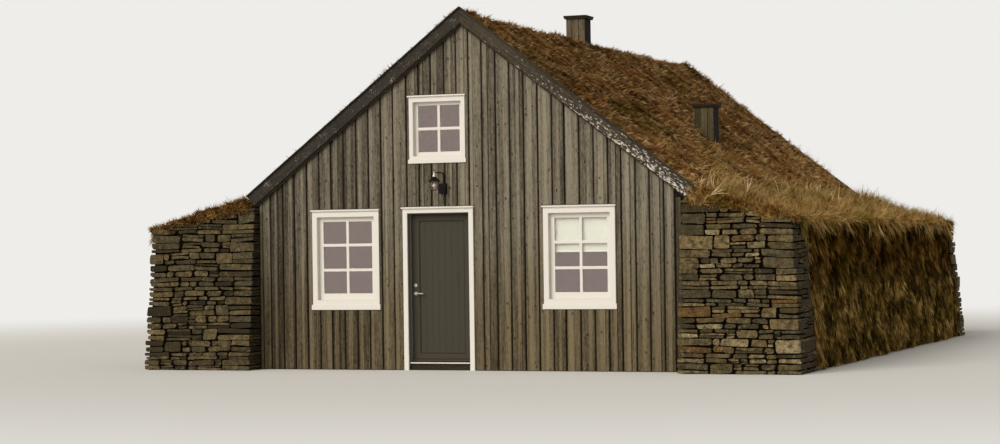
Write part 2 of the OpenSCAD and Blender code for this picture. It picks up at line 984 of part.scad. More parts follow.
module door_casing() {
    half = door_w / 2;
    color("ivory")
        translate([-door_x, face_y, 0])
            union() {
                difference() {
                    block(-half - door_casing_w, half + door_casing_w, -casing_t, 0, 0,
                        door_top + door_head_h);
                    block(-half, half, -casing_t - 1, 1, -1, door_top);
                }
                sloping_rail(-half - door_casing_w - drip_out, half + door_casing_w + drip_out,
                    -casing_t - 2 * drip_out, 0, door_top + door_head_h, drip_h, drip_out / 2);
            }
}

// Lining of the doorway, with a stop that the leaf closes against
module door_frame() {
    half = door_w / 2;
    stop_y = leaf_out_y - leaf_gap - face_y;
    color("slategray")
        translate([-door_x, face_y, 0])
            difference() {
                block(-door_hole_w / 2, door_hole_w / 2, 0, wall_t, 0, door_hole_top);
                block(-half, half, -1, stop_y - stop_w, -1, door_top);
                block(-half + stop_d, half - stop_d, -1, wall_t + 1, -1, door_top - stop_d);
                block(-half, half, stop_y, wall_t + 1, -1, door_top);
            }
}

// A board across the foot of the doorway with a strip on top
module threshold() {
    half = door_w / 2 - stop_d;
    color("ivory")
        translate([-door_x, face_y, 0])
            union() {
                block(-half, half, riser_in, wall_t, 0, floor_h);
                block(-half, half, 0, wall_t, floor_h, floor_h + strip_h);
            }
}

module hinge_places() {
    for (i = [0:2])
        translate([hinge_x, hinge_y, low_hinge_z + i * (high_hinge_z - low_hinge_z) / 2])
            children();
}

// The frame's half of each hinge: a plate on the wall, the lower knuckle and the pin
module frame_hinges() {
    color("silver")
        hinge_places()
            union() {
                cylinder(r = knuckle_r, h = knuckle_h);
                cylinder(r = hinge_pin_r, h = hinge_h);
                block(0, knuckle_r + plate_w, -knuckle_r, plate_t - knuckle_r, 0, knuckle_h);
            }
}

module leaf_board_grooves() {
    for (i = [0:panel_boards])
        for (y = [leaf_out_y + panel_in, leaf_out_y + leaf_t - panel_in])
            block(panel_left + i * panel_w / panel_boards - groove / 2,
                panel_left + i * panel_w / panel_boards + groove / 2,
                y - groove / 2, y + groove / 2, panel_low, panel_low + panel_h);
}

module door_leaf() {
    color("dimgray")
        union() {
            difference() {
                block(leaf_left, leaf_right, leaf_out_y, inner_front_y, leaf_low, leaf_top);
                block(panel_left, panel_left + panel_w, leaf_out_y - 1, leaf_out_y + panel_in,
                    panel_low, panel_low + panel_h);
                block(panel_left, panel_left + panel_w, inner_front_y - panel_in, inner_front_y + 1,
                    panel_low, panel_low + panel_h);
                leaf_board_grooves();
                translate([handle_x, inner_front_y + 1, handle_z])
                    rotate([90, 0, 0])
                        cylinder(r = spindle_r + spindle_gap, h = leaf_t + 2);
            }
            sloping_rail(leaf_left + stop_d + leaf_gap, leaf_right - stop_d - leaf_gap,
                leaf_out_y - weather_bar_d, leaf_out_y, leaf_low + leaf_gap, weather_bar_h,
                weather_bar_h / 2);
        }
}

module rose(z, hole_r) {
    for (y = [leaf_out_y, inner_front_y + rose_t])
        translate([handle_x, y, z])
            rotate([90, 0, 0])
                difference() {
                    cylinder(r = rose_r, h = rose_t);
                    if (hole_r > 0)
                        translate([0, 0, -1])
                            cylinder(r = hole_r, h = rose_t + 2);
                }
}

// The leaf's half of each hinge, and the roses of the handle and the lock
module leaf_fittings() {
    color("silver") {
        hinge_places()
            translate([0, 0, knuckle_h + hinge_gap])
                difference() {
                    union() {
                        cylinder(r = knuckle_r, h = knuckle_h);
                        block(-plate_w - knuckle_r, 0, -knuckle_r, plate_t - knuckle_r, 0, knuckle_h);
                    }
                    translate([0, 0, -1])
                        cylinder(r = hinge_pin_r + hinge_gap, h = knuckle_h + 2);
                }
        rose(handle_z, spindle_r + spindle_gap);
        rose(handle_z + lock_up, 0);
    }
}

// One lever: a short neck and an arm towards the hinges, rounded at both ends
module lever(dir) {
    neck = rose_t + lever_gap;
    rotate([90 * dir, 0, 0]) {
        cylinder(r = spindle_r, h = neck + 1);
        translate([0, 0, neck])
            linear_extrude(height = lever_t) {
                circle(r = lever_t * 0.7);
                translate([0, -lever_t / 2])
                    square([lever_len, lever_t]);
                translate([lever_len, 0])
                    circle(r = lever_t / 2);
            }
    }
}

module door_handle() {
    color("silver")
        union() {
            translate([handle_x, inner_front_y, handle_z])
                rotate([90, 0, 0])
                    cylinder(r = spindle_r, h = leaf_t);
            translate([handle_x, leaf_out_y, handle_z])
                lever(1);
            translate([handle_x, inner_front_y, handle_z])
                lever(-1);
        }
}

// Wall lamp

// A pipe goes up from the wall box, bends outwards and ends in the neck of the shade
module lamp_bracket() {
    bend_r = 3 * lamp_pipe_r;
    pipe_y = face_y - lamp_box_d / 2;
    color("dimgray")
        translate([-lamp_x, 0, 0])
            union() {
                block(-lamp_box_w / 2, lamp_box_w / 2, face_y - lamp_box_d, face_y,
                    lamp_z - lamp_box_h / 2, lamp_z + lamp_box_h / 2);
                translate([0, pipe_y, lamp_z])
                    cylinder(r = lamp_pipe_r, h = lamp_rise - bend_r);
                translate([0, pipe_y - bend_r, lamp_arm_z - bend_r])
                    rotate([90, 0, 90])
                        rotate_extrude(angle = 90)
                            translate([bend_r, 0])
                                circle(r = lamp_pipe_r);
                translate([0, pipe_y - bend_r, lamp_arm_z])
                    rotate([90, 0, 0])
                        cylinder(r = lamp_pipe_r, h = pipe_y - bend_r - lamp_out_y);
                translate([0, lamp_out_y, shade_top_z])
                    cylinder(r1 = neck_r, r2 = 1.5 * lamp_pipe_r, h = neck_h - lamp_pipe_r);
                translate([0, lamp_out_y, lamp_arm_z - lamp_pipe_r])
                    cylinder(r = 1.5 * lamp_pipe_r, h = 2 * lamp_pipe_r);
            }
}

// A thin flared shade, open below, that hangs from the neck
module lamp_shade() {
    color("black")
        translate([-lamp_x, lamp_out_y, 0])
            rotate_extrude()
                polygon([[0, shade_top_z], [neck_r, shade_top_z],
                    [neck_r + 3 * shade_t, shade_top_z - 3 * shade_t],
                    [shade_r, shade_low_z], [shade_r - 2 * shade_t, shade_low_z],
                    [neck_r, mouth_z], [0, mouth_z]]);
}

// A jar with an open mouth against the top of the shade
module lamp_jar() {
    r = jar_r / 2;
    mouth_r = neck_r - jar_t;
    low_z = shade_low_z - jar_h;
    color("lightsteelblue", 0.5)
        translate([-lamp_x, lamp_out_y, 0])
            rotate_extrude()
                polygon(concat([[0, low_z]], arc(jar_r - r, low_z + r, r, 270, 360, 8),
                    [[jar_r, shade_low_z], [mouth_r, mouth_z - jar_t], [mouth_r, mouth_z],
                        [mouth_r - jar_t, mouth_z], [mouth_r - jar_t, mouth_z - jar_t],
                        [jar_r - jar_t, shade_low_z]],
                    arc(jar_r - r, low_z + r, r - jar_t, 360, 270, 8), [[0, low_z + jar_t]]));
}

ground_floor();
front_wall_left();
front_wall_right();
front_gable();
back_gable_wall();
left_inner_wall();
right_inner_wall();
loft_joists();
loft_floor();
rafters();
left_roof_boards();
right_roof_boards();
left_roof_turf();
right_roof_turf();
front_bargeboards();
back_bargeboards();
left_stone_end();
right_stone_end();
back_stone_wall();
left_turf_wall();
right_turf_wall();
left_wall_top_turf();
right_wall_top_turf();
back_wall_top_turf();
chimneys();
chimney_caps();
left_window_frame();
left_window_sash();
right_window_frame();
right_window_sash();
loft_window_frame();
loft_window_sash();
back_window();
window_panes();
roller_blind();
door_casing();
door_frame();
threshold();
frame_hinges();
door_leaf();
leaf_fittings();
door_handle();
lamp_bracket();
lamp_shade();
lamp_jar();
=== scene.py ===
import math
import random

import bmesh
import bpy
from mathutils import Matrix, Vector, noise


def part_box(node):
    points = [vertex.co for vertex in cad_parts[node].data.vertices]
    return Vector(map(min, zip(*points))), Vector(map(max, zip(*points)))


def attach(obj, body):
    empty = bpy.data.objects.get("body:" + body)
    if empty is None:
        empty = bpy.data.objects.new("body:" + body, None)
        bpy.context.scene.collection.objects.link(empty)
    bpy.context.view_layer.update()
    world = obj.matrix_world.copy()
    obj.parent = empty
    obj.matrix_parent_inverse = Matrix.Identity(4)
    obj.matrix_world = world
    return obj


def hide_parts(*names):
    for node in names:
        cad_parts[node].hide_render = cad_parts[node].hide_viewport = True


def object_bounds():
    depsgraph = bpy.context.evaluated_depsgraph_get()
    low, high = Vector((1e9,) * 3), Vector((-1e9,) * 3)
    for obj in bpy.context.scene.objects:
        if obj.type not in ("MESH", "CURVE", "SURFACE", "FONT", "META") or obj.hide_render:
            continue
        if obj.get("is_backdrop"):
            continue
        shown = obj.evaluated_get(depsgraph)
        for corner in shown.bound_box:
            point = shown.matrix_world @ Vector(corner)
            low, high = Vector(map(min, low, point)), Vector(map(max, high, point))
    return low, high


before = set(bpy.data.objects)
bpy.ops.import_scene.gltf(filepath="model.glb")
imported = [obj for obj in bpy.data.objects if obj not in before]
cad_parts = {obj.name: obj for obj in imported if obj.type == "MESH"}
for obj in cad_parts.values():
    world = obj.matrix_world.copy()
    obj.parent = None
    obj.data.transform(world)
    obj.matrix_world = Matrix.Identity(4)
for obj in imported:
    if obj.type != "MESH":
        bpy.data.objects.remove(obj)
cad_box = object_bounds()
collection = bpy.context.scene.collection


def set_camera():
    """The view of the photograph, from the right of the front and at eye height."""
    eye, turn, roll = (11.127, -33.334, 1.618), math.radians(21), -0.0134
    data = bpy.data.cameras.new("camera")
    data.lens = 81.35
    data.sensor_width = 36
    data.shift_y = 0.0257
    data.clip_end = 400
    camera = bpy.data.objects.new("camera", data)
    upright = Matrix.Rotation(math.radians(90), 4, "X")
    camera.matrix_world = (Matrix.Translation(eye) @ Matrix.Rotation(turn, 4, "Z") @ upright
                           @ Matrix.Rotation(roll, 4, "Z"))
    collection.objects.link(camera)
    bpy.context.scene.camera = camera


bpy.context.scene.view_settings.view_transform = "Standard"
set_camera()

# Places of the house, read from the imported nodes, in metres

GABLE_LOW, GABLE_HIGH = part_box("front_gable")
HALF_W = GABLE_HIGH.x
FACE_Y = GABLE_LOW.y
BOARD_LOW = GABLE_HIGH.z
BACK_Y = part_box("back_gable_wall")[1].y
BACK_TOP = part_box("back_stone_wall")[1].z
ROOF_LOW, ROOF_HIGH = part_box("right_roof_turf")
EAVE_X = ROOF_HIGH.x
END_LOW, END_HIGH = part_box("right_stone_end")
OUTER_X = END_HIGH.x
FRONT_FOOT = END_LOW.y
PIER_Y = END_HIGH.y
WALL_TOP = END_HIGH.z
BACK_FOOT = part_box("back_stone_wall")[1].y
CORNER_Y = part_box("right_turf_wall")[1].y

# Slopes and sizes that the boxes of the nodes don't give

ROOF_PITCH = math.radians(37.5)
SLOPE = math.tan(ROOF_PITCH)
ROOF_TURF_T = 0.15
WALL_FALL = 0.31
LEFT_LEAN = 0.02
RIGHT_LEAN = 0.08
END_LEAN = 0.11
LEDGE_Z = 1.14


def roof_z(top, x):
    return top - SLOPE * abs(x)


# Node trees


def add(tree, kind, settings=None, **inputs):
    made = tree.nodes.new(kind)
    for name, value in (settings or {}).items():
        setattr(made, name, value)
    for name, value in inputs.items():
        connect(tree, value, made.inputs[name.replace("_", " ")])
    return made


def connect(tree, value, socket):
    if isinstance(value, bpy.types.NodeSocket):
        tree.links.new(value, socket)
    elif value is not None:
        socket.default_value = value


def calc(tree, operation, *values):
    made = add(tree, "ShaderNodeMath", {"operation": operation})
    for value, socket in zip(values, made.inputs):
        connect(tree, value, socket)
    return made.outputs[0]


def times(tree, value, share):
    return calc(tree, "MULTIPLY", value, share)


def less(tree, value, other):
    return calc(tree, "SUBTRACT", value, other)


def total(tree, *parts):
    """The sum of the parts, each a value or a pair of a value and its share."""
    values = [times(tree, *part) if isinstance(part, tuple) else part for part in parts]
    made = values[0]
    for value in values[1:]:
        made = calc(tree, "ADD", made, value)
    return made


def vector_calc(tree, operation, *values):
    made = add(tree, "ShaderNodeVectorMath", {"operation": operation})
    for value, socket in zip(values, made.inputs):
        connect(tree, value, socket)
    return made.outputs[1] if operation == "LENGTH" else made.outputs[0]


def mix(tree, factor, a, b, blend="MIX"):
    made = add(tree, "ShaderNodeMix", {"data_type": "RGBA", "blend_type": blend})
    connect(tree, factor, made.inputs[0])
    connect(tree, a, made.inputs[6])
    connect(tree, b, made.inputs[7])
    return made.outputs[2]


def tinted(tree, mask, tint, code):
    """The tint, multiplied by a colour where the mask is."""
    return mix(tree, mask, tint, mix(tree, 1.0, tint, colour(code), "MULTIPLY"))


def colour(code):
    parts = [int(code[i : i + 2], 16) / 255 for i in (0, 2, 4)]
    return [p / 12.92 if p <= 0.04045 else ((p + 0.055) / 1.055) ** 2.4 for p in parts] + [1]


def ramp(tree, value, stops):
    made = add(tree, "ShaderNodeValToRGB", Fac=value)
    elements = made.color_ramp.elements
    while len(elements) < len(stops):
        elements.new(0.5)
    for element, (place, code) in zip(elements, stops):
        element.position = place
        element.color = colour(code)
    return made.outputs[0]


def noise_at(tree, vector, scale, detail=4, roughness=0.55):
    return add(
        tree, "ShaderNodeTexNoise", Vector=vector, Scale=scale, Detail=detail, Roughness=roughness
    ).outputs[0]


def between(tree, value, low, high, to_low=0.0, to_high=1.0):
    made = add(tree, "ShaderNodeMapRange", {"interpolation_type": "SMOOTHSTEP"})
    for each, socket in zip((value, low, high, to_low, to_high), made.inputs):
        connect(tree, each, socket)
    return made.outputs[0]


def stretched(tree, vector, scale, turn=(0, 0, 0)):
    return add(tree, "ShaderNodeMapping", Vector=vector, Scale=scale, Rotation=turn).outputs[0]


def streaks_at(tree, vector, scale, detail=4, roughness=0.55):
    """Noise with its own scale along each axis."""
    return noise_at(tree, stretched(tree, vector, scale), 1, detail, roughness)


def height_of(tree, vector):
    return add(tree, "ShaderNodeSeparateXYZ", Vector=vector).outputs["Z"]


def attribute(tree, name):
    return add(tree, "ShaderNodeAttribute", {"attribute_name": name}).outputs["Fac"]


def group(name, inputs, outputs):
    tree = bpy.data.node_groups.new(name, "ShaderNodeTree")
    for label, kind, value in inputs:
        socket = tree.interface.new_socket(label, in_out="INPUT", socket_type="NodeSocket" + kind)
        if value is not None:
            socket.default_value = value
    for label, kind in outputs:
        tree.interface.new_socket(label, in_out="OUTPUT", socket_type="NodeSocket" + kind)
    return tree, tree.nodes.new("NodeGroupInput").outputs, tree.nodes.new("NodeGroupOutput").inputs


def give(tree, out, **values):
    """Links the values to the outputs of a group."""
    for label, value in values.items():
        tree.links.new(value, out[label])


def use(tree, shared, **inputs):
    made = tree.nodes.new("ShaderNodeGroup")
    made.node_tree = shared
    for name, value in inputs.items():
        connect(tree, value, made.inputs[name.replace("_", " ")])
    return made.outputs


def new_material(name, **settings):
    made = bpy.data.materials.new(name)
    made.use_nodes = True
    shader = made.node_tree.nodes["Principled BSDF"]
    for label, value in settings.items():
        shader.inputs[label.replace("_", " ")].default_value = value
    coordinates = made.node_tree.nodes.new("ShaderNodeTexCoord").outputs["Object"]
    return made, made.node_tree, shader, coordinates


def bump(tree, shader, height, distance, strength=1.0):
    made = add(tree, "ShaderNodeBump", Height=height, Distance=distance, Strength=strength)
    tree.links.new(made.outputs[0], shader.inputs["Normal"])


def finish_surface(tree, shader, tint, height, distance):
    tree.links.new(tint, shader.inputs["Base Color"])
    bump(tree, shader, height, distance)


def show_either(tree, factor, first, second, output="Material Output"):
    both = add(tree, "ShaderNodeMixShader", Fac=factor)
    tree.links.new(first.outputs[0], both.inputs[1])
    tree.links.new(second.outputs[0], both.inputs[2])
    tree.links.new(both.outputs[0], tree.nodes[output].inputs["Surface"])


def seen_rays(tree):
    """1 for the rays of the camera, mirrors and glass, which show the plain background."""
    path = add(tree, "ShaderNodeLightPath").outputs
    seen = calc(tree, "MAXIMUM", path["Is Camera Ray"], path["Is Transmission Ray"])
    return calc(tree, "MAXIMUM", seen, path["Is Glossy Ray"])


# Shared effects


def make_grain():
    """Grain of a board that runs along Z: streaks, mottling, cracks and knots."""
    tree, given, out = group(
        "wood_grain",
        [("Vector", "Vector", None), ("Tone", "Float", 0.5), ("Knots", "Float", 1.0)],
        [("Streaks", "Float"), ("Fine", "Float"), ("Knot", "Float"), ("Height", "Float")],
    )
    shift = times(tree, given["Tone"], 37.0)
    shift = add(tree, "ShaderNodeCombineXYZ", X=0.0, Y=shift, Z=shift).outputs[0]
    at = vector_calc(tree, "ADD", given["Vector"], shift)
    wide = streaks_at(tree, at, (26, 26, 0.9), 3)
    lines = streaks_at(tree, at, (85, 85, 2.2), 4, 0.65)
    streaks = total(tree, (wide, 0.5), (lines, 0.5))
    fine = streaks_at(tree, at, (62, 62, 17), 5, 0.75)
    crack = between(tree, streaks_at(tree, at, (70, 70, 0.8), 2, 0.5), 0.7, 0.78)
    cell = (10.0, 1.0, 4.0)
    spot = add(tree, "ShaderNodeTexVoronoi", Vector=stretched(tree, at, cell), Scale=1.0)
    gap = vector_calc(tree, "SUBTRACT", spot.outputs["Position"], stretched(tree, at, cell))
    apart = vector_calc(tree, "LENGTH", vector_calc(tree, "MULTIPLY", gap, (0.1, 0, 0.17)))
    rough = total(tree, apart, (noise_at(tree, at, 55, 3), 0.03))
    seldom = add(tree, "ShaderNodeSeparateColor", Color=spot.outputs["Color"]).outputs[0]
    knot = times(tree, between(tree, rough, 0.033, 0.017), given["Knots"])
    knot = times(tree, knot, between(tree, seldom, 0.4, 1.0, 0.0, 0.9))
    dark = calc(tree, "MAXIMUM", knot, times(tree, crack, 0.8))
    height = less(tree, total(tree, streaks, fine), dark)
    give(tree, out, Streaks=streaks, Fine=fine, Knot=dark, Height=height)
    return tree


def make_specks():
    """Lichen specks as a mask, closer together in larger patches."""
    tree, given, out = group(
        "lichen_specks",
        [("Vector", "Vector", None), ("Size", "Float", 30.0), ("Amount", "Float", 0.3)],
        [("Mask", "Float")],
    )
    fine = noise_at(tree, given["Vector"], given["Size"], 5, 0.7)
    large = noise_at(tree, given["Vector"], times(tree, given["Size"], 0.12), 3, 0.6)
    level = less(tree, 0.86, times(tree, given["Amount"], 0.4))
    both = total(tree, (fine, 0.75), (large, 0.4))
    give(tree, out, Mask=between(tree, both, level, total(tree, level, 0.05)))
    return tree


def make_weathering():
    """Runs of dirt down a painted face, its chips and its brush strokes."""
    tree, given, out = group(
        "paint_weathering",
        [("Vector", "Vector", None), ("Dirt", "Float", 0.5)],
        [("Runs", "Float"), ("Chips", "Float"), ("Brush", "Float")],
    )
    runs = streaks_at(tree, given["Vector"], (34, 34, 2.2), 4, 0.6)
    cloud = noise_at(tree, given["Vector"], 3.5, 4, 0.6)
    level = less(tree, 0.74, times(tree, given["Dirt"], 0.25))
    both = total(tree, (runs, 0.6), (cloud, 0.45))
    chips = streaks_at(tree, given["Vector"], (60, 60, 22), 6, 0.75)
    give(tree, out, Runs=between(tree, both, level, total(tree, level, 0.25)),
         Chips=between(tree, chips, 0.66, 0.7),
         Brush=streaks_at(tree, given["Vector"], (240, 240, 9), 2, 0.5))
    return tree


def make_patches():
    """Patches of the colours of turf, and its strands along the short axes of Grain."""
    tree, given, out = group(
        "turf_patches",
        [("Vector", "Vector", None), ("Grain", "Vector", (60.0, 60.0, 60.0)),
         ("Tone", "Float", 0.5), ("Tip", "Float", 0.5)],
        [("Broad", "Float"), ("Small", "Float"), ("Shade", "Float"), ("Strands", "Float")],
    )
    broad = noise_at(tree, given["Vector"], 1.3, 3, 0.6)
    blotch = noise_at(tree, given["Vector"], 3.4, 3, 0.6)
    sway = times(tree, noise_at(tree, given["Vector"], 6.0, 2), 0.09)
    sway = add(tree, "ShaderNodeCombineXYZ", X=sway, Y=sway, Z=sway).outputs[0]
    at = vector_calc(tree, "ADD", given["Vector"], sway)
    along = vector_calc(tree, "MULTIPLY", at, given["Grain"])
    small = noise_at(tree, along, 0.16, 4, 0.65)
    strands = noise_at(tree, along, 1, 5, 0.7)
    shade = total(tree, less(tree, times(tree, given["Tone"], 0.4), 0.83), (given["Tip"], 0.32),
                  (blotch, 0.75), (small, 0.65), (strands, 0.6))
    give(tree, out, Broad=broad, Small=small, Shade=shade, Strands=strands)
    return tree


grain_group = make_grain()
specks_group = make_specks()
weathering_group = make_weathering()
patches_group = make_patches()


# Materials


def wood(name, dark, light, knot, turn=(0, 0, 0), knots=1.0, lichen=0.0, pale="b9b3a0",
         contrast=1.0, damp=None, flake=0.0):
    """Weathered wood. damp tints the lower boards, flake is how much pale bark is left."""
    made, tree, shader, coordinates = new_material(name, Roughness=0.85, Specular_IOR_Level=0.15)
    at = stretched(tree, coordinates, (1, 1, 1), turn)
    tone = attribute(tree, "tone")
    grain = use(tree, grain_group, Vector=at, Tone=tone, Knots=knots)
    value = total(tree, (grain["Streaks"], 1.1 * contrast), (grain["Fine"], 0.9 * contrast),
                  (tone, 0.3))
    # The attribute edge, set on the boards, darkens the wood: painted shade at the rims and in the
    # grooves, and a paler band of the board's own tone.
    value = less(tree, value, times(tree, attribute(tree, "edge"), 0.5))
    value = less(tree, value, 0.15 + 0.62 * contrast)
    tint = mix(tree, between(tree, value, 0.0, 0.85), colour(dark), colour(light))
    tint = mix(tree, grain["Knot"], tint, colour(knot))
    if damp:
        low = between(tree, height_of(tree, coordinates), 2.6, 0.0)
        wet = between(tree, total(tree, low, grain["Fine"]), 0.5, 1.5)
        tint = tinted(tree, times(tree, wet, 0.85), tint, damp)
    if lichen > 0:
        specks = use(tree, specks_group, Vector=at, Size=55.0, Amount=lichen)
        tint = mix(tree, specks["Mask"], tint, colour(pale))
    height = grain["Height"]
    if flake > 0:
        bark = streaks_at(tree, at, (30, 30, 15), 5, 0.75)
        bare = less(tree, 0.68, times(tree, attribute(tree, "bark"), 0.17 * flake))
        left = between(tree, bark, bare, total(tree, bare, 0.05))
        tint = mix(tree, times(tree, left, 0.9), tint, colour(pale))
        height = total(tree, height, left)
    finish_surface(tree, shader, tint, height, 0.005)
    return made


def paint(name, base, dirty, under, dirt=0.4, roughness=0.5, chips=1.0):
    made, tree, shader, at = new_material(name, Roughness=roughness, Specular_IOR_Level=0.3)
    worn = use(tree, weathering_group, Vector=at, Dirt=dirt)
    tint = mix(tree, worn["Runs"], colour(base), colour(dirty))
    chipped = times(tree, worn["Chips"], chips)
    tint = mix(tree, chipped, tint, colour(under))
    rough = total(tree, roughness, (worn["Runs"], 0.2))
    tree.links.new(rough, shader.inputs["Roughness"])
    height = less(tree, times(tree, worn["Brush"], 0.4), chipped)
    finish_surface(tree, shader, tint, height, 0.0015)
    return made


def stone_material(name):
    """Each stone has a tone of its own, mostly grey brown, with a few pale or rusty."""
    made, tree, shader, at = new_material(name, Roughness=0.9, Specular_IOR_Level=0.15)
    base = ramp(tree, attribute(tree, "tone"), [
        (0.0, "1f1a12"), (0.14, "50452d"), (0.32, "625a42"), (0.52, "776644"), (0.72, "897650"),
        (0.88, "a38c5f"), (0.955, "bfae84"), (0.965, "876738"), (1.0, "70502a")])
    cloud = noise_at(tree, at, 14, 6, 0.72)
    fine = noise_at(tree, at, 75, 5, 0.7)
    layers = streaks_at(tree, at, (12, 12, 40), 5, 0.7)
    pits = add(tree, "ShaderNodeTexVoronoi", Vector=at, Scale=32.0).outputs["Distance"]
    shade = total(tree, (cloud, 0.75), (layers, 0.25), (fine, 0.4))
    tint = mix(tree, between(tree, shade, 0.52, 0.9), colour("332c1d"), base)
    specks = use(tree, specks_group, Vector=at, Size=24.0, Amount=0.5)
    tint = mix(tree, times(tree, specks["Mask"], 0.5), tint, colour("8f8768"))
    rust = between(tree, noise_at(tree, at, 7, 4, 0.6), 0.62, 0.7)
    tint = mix(tree, times(tree, rust, 0.45), tint, colour("6b4a24"))
    height = total(tree, (cloud, 1.1), (fine, 0.35), (layers, 0.35), (pits, 0.5))
    finish_surface(tree, shader, tint, height, 0.025)
    return made


def core_material(name, dark, light):
    made, tree, shader, at = new_material(name, Roughness=0.95, Specular_IOR_Level=0.0)
    tint = mix(tree, noise_at(tree, at, 18, 4), colour(dark), colour(light))
    finish_surface(tree, shader, tint, noise_at(tree, at, 40, 4), 0.01)
    return made


TURF_STOPS = (0.0, 0.3, 0.55, 0.8, 1.0)


def turf_material(name, colours, grain, patch, patch_level=0.55, moss=None, upper=None,
                  contrast=1.0, clumps=0.0):
    """Turf, with its colours from the roots to the lightest tips. patch and moss tint areas.

    upper is a height, the reach of the change at it and the tint of all above it. clumps darkens
    the gaps between the hanging clumps with painted shade and lightens the clumps with painted
    light.
    """
    made, tree, shader, at = new_material(name, Roughness=0.9, Specular_IOR_Level=0.0)
    turf = use(tree, patches_group, Vector=at, Grain=grain, Tone=attribute(tree, "tone"),
               Tip=attribute(tree, "tip"))
    shade = less(tree, times(tree, turf["Shade"], contrast), 0.45 * (contrast - 1))
    # Painted shade in the gaps between the hanging clumps, and painted light on the clumps.
    if clumps > 0:
        clump = between(tree, streaks_at(tree, at, (2.5, 2.5, 3.2), 3), 0.4, 0.58, -0.6, 0.4)
        shade = total(tree, shade, (clump, clumps))
    tint = ramp(tree, shade, list(zip(TURF_STOPS, colours)))
    area = between(tree, turf["Broad"], patch_level, patch_level + 0.12)
    tint = tinted(tree, times(tree, area, 0.7), tint, patch)
    if moss:
        area = between(tree, turf["Broad"], 0.44, 0.38)
        tint = tinted(tree, times(tree, area, 0.8), tint, moss)
    if upper:
        level, reach, code = upper
        height = total(tree, height_of(tree, at), (turf["Small"], reach))
        area = between(tree, height, level - 0.5 * reach, level + 1.5 * reach)
        tint = tinted(tree, area, tint, code)
    height = total(tree, turf["Small"], (turf["Strands"], 0.7))
    finish_surface(tree, shader, tint, height, 0.03)
    return made


def metal(name, base, worn, metallic, roughness, rust=0.3, shine=0.25):
    made, tree, shader, at = new_material(name, Metallic=metallic, Roughness=roughness,
                                          Specular_IOR_Level=shine)
    cloud = noise_at(tree, at, 45, 5, 0.65)
    tint = mix(tree, between(tree, cloud, 0.62 - rust * 0.2, 0.8), colour(base), colour(worn))
    rough = total(tree, roughness - 0.06, (cloud, 0.18))
    tree.links.new(rough, shader.inputs["Roughness"])
    finish_surface(tree, shader, tint, noise_at(tree, at, 260, 3), 0.0006)
    return made


def glass(name, ior, tint, painted_reflection_tint):
    """Slightly uneven glass that lets the light through to what is behind it. Its last argument
    tints the reflections: a painted reflection colour.
    """
    made, tree, shader, at = new_material(
        name, Base_Color=colour(tint), Roughness=0.0, IOR=ior, Transmission_Weight=1.0,
        Specular_Tint=colour(painted_reflection_tint))
    bump(tree, shader, noise_at(tree, at, 3.0, 2), 0.004, 0.5)
    shadow = add(tree, "ShaderNodeLightPath").outputs["Is Shadow Ray"]
    show_either(tree, shadow, shader, add(tree, "ShaderNodeBsdfTransparent"))
    return made


def cloth_material(name):
    made, tree, shader, at = new_material(name, Roughness=0.8)
    tint = mix(tree, noise_at(tree, at, 6, 3), colour("c8c1b4"), colour("d6d0c4"))
    finish_surface(tree, shader, tint, streaks_at(tree, at, (900, 900, 900), 2), 0.0005)
    return made


LEAN_LEFT = (0, math.radians(-52.5), 0)
LEAN_RIGHT = (0, math.radians(52.5), 0)
ACROSS = (0, math.radians(90), 0)
boards_wood = wood("weathered_boards", "2d271d", "8e8571", "1b150d", contrast=1.05, damp="d9ccb0")
corner_wood = wood("corner_strip", "2d2619", "6a5f49", "1c1812", knots=0.3)
backing_wood = wood("dark_backing", "17120b", "2c2519", "0c0a07")
left_barge_wood = wood("dark_bargeboard", "0b0907", "38332c", "0c0a07", LEAN_LEFT, 0.5, 0.5,
                       "8a8377", contrast=1.9)
right_barge_wood = wood("bark_bargeboard", "17120c", "4f4638", "120e09", LEAN_RIGHT, 0.5, 0.1,
                        "d8d1c1", contrast=1.4, flake=1.25)
barge_cap_wood = wood("bargeboard_strip", "1a160f", "4a4335", "120f0b", LEAN_RIGHT, 0.3)
chimney_wood = wood("chimney_boards", "433827", "94866b", "241d15", lichen=0.25, pale="565a38")
mossy_wood = wood("mossy_boards", "292314", "6f6347", "14100a", lichen=0.5, pale="44472a")
# Near-black boards for the back and right faces of the chimneys: darker wood and painted shade on
# the faces away from the light.
dark_wood_and_painted_shade = wood("dark_boards_and_painted_shade", "0b0a09", "1f1c1a", "060504", knots=0.3)
cap_wood = wood("chimney_cap", "211d12", "574d33", "0c0a08", ACROSS, 0.2, 0.3, "65633f")
inner_wood = wood("inner_wood", "6b4a2c", "9c7549", "3a2615")
roof_edge_wood = wood("roof_boards", "2f281c", "5c5240", "17130e", (math.radians(90), 0, 0), 0.3)
cream_paint = paint("cream_paint", "dfdad0", "c6bfb1", "a89d88", 0.35)
grey_paint = paint("grey_paint", "6a6863", "4d4b47", "7d7a70", 0.5)
threshold_paint = paint("threshold_paint", "e4dfd4", "b9b1a1", "8f8877", 0.5)
door_paint = paint("door_paint", "363021", "262013", "484029", 0.6, 0.6, 0.3)
# Near-black paint for the strips round the door panel: painted shade.
panel_shade_paint = paint("door_panel_painted_shade", "1d1910", "15120b", "2c2618", 0.5, 0.6, 0.3)
riser_wood = wood("threshold_riser", "231c15", "40372b", "120d09", ACROSS, 0.3)
steel = metal("satin_steel", "a5a29b", "5d5750", 1.0, 0.3)
pipe_metal = metal("lamp_pipe", "3a2c22", "5a4030", 0.35, 0.55)
zinc = metal("galvanised_neck", "b5b1a8", "7b766c", 0.8, 0.4)
enamel = metal("black_enamel", "080605", "1d1712", 0.0, 0.35, 0.2, shine=0.1)
wire_metal = metal("guard_wire", "2c241d", "4d3f33", 0.7, 0.45)
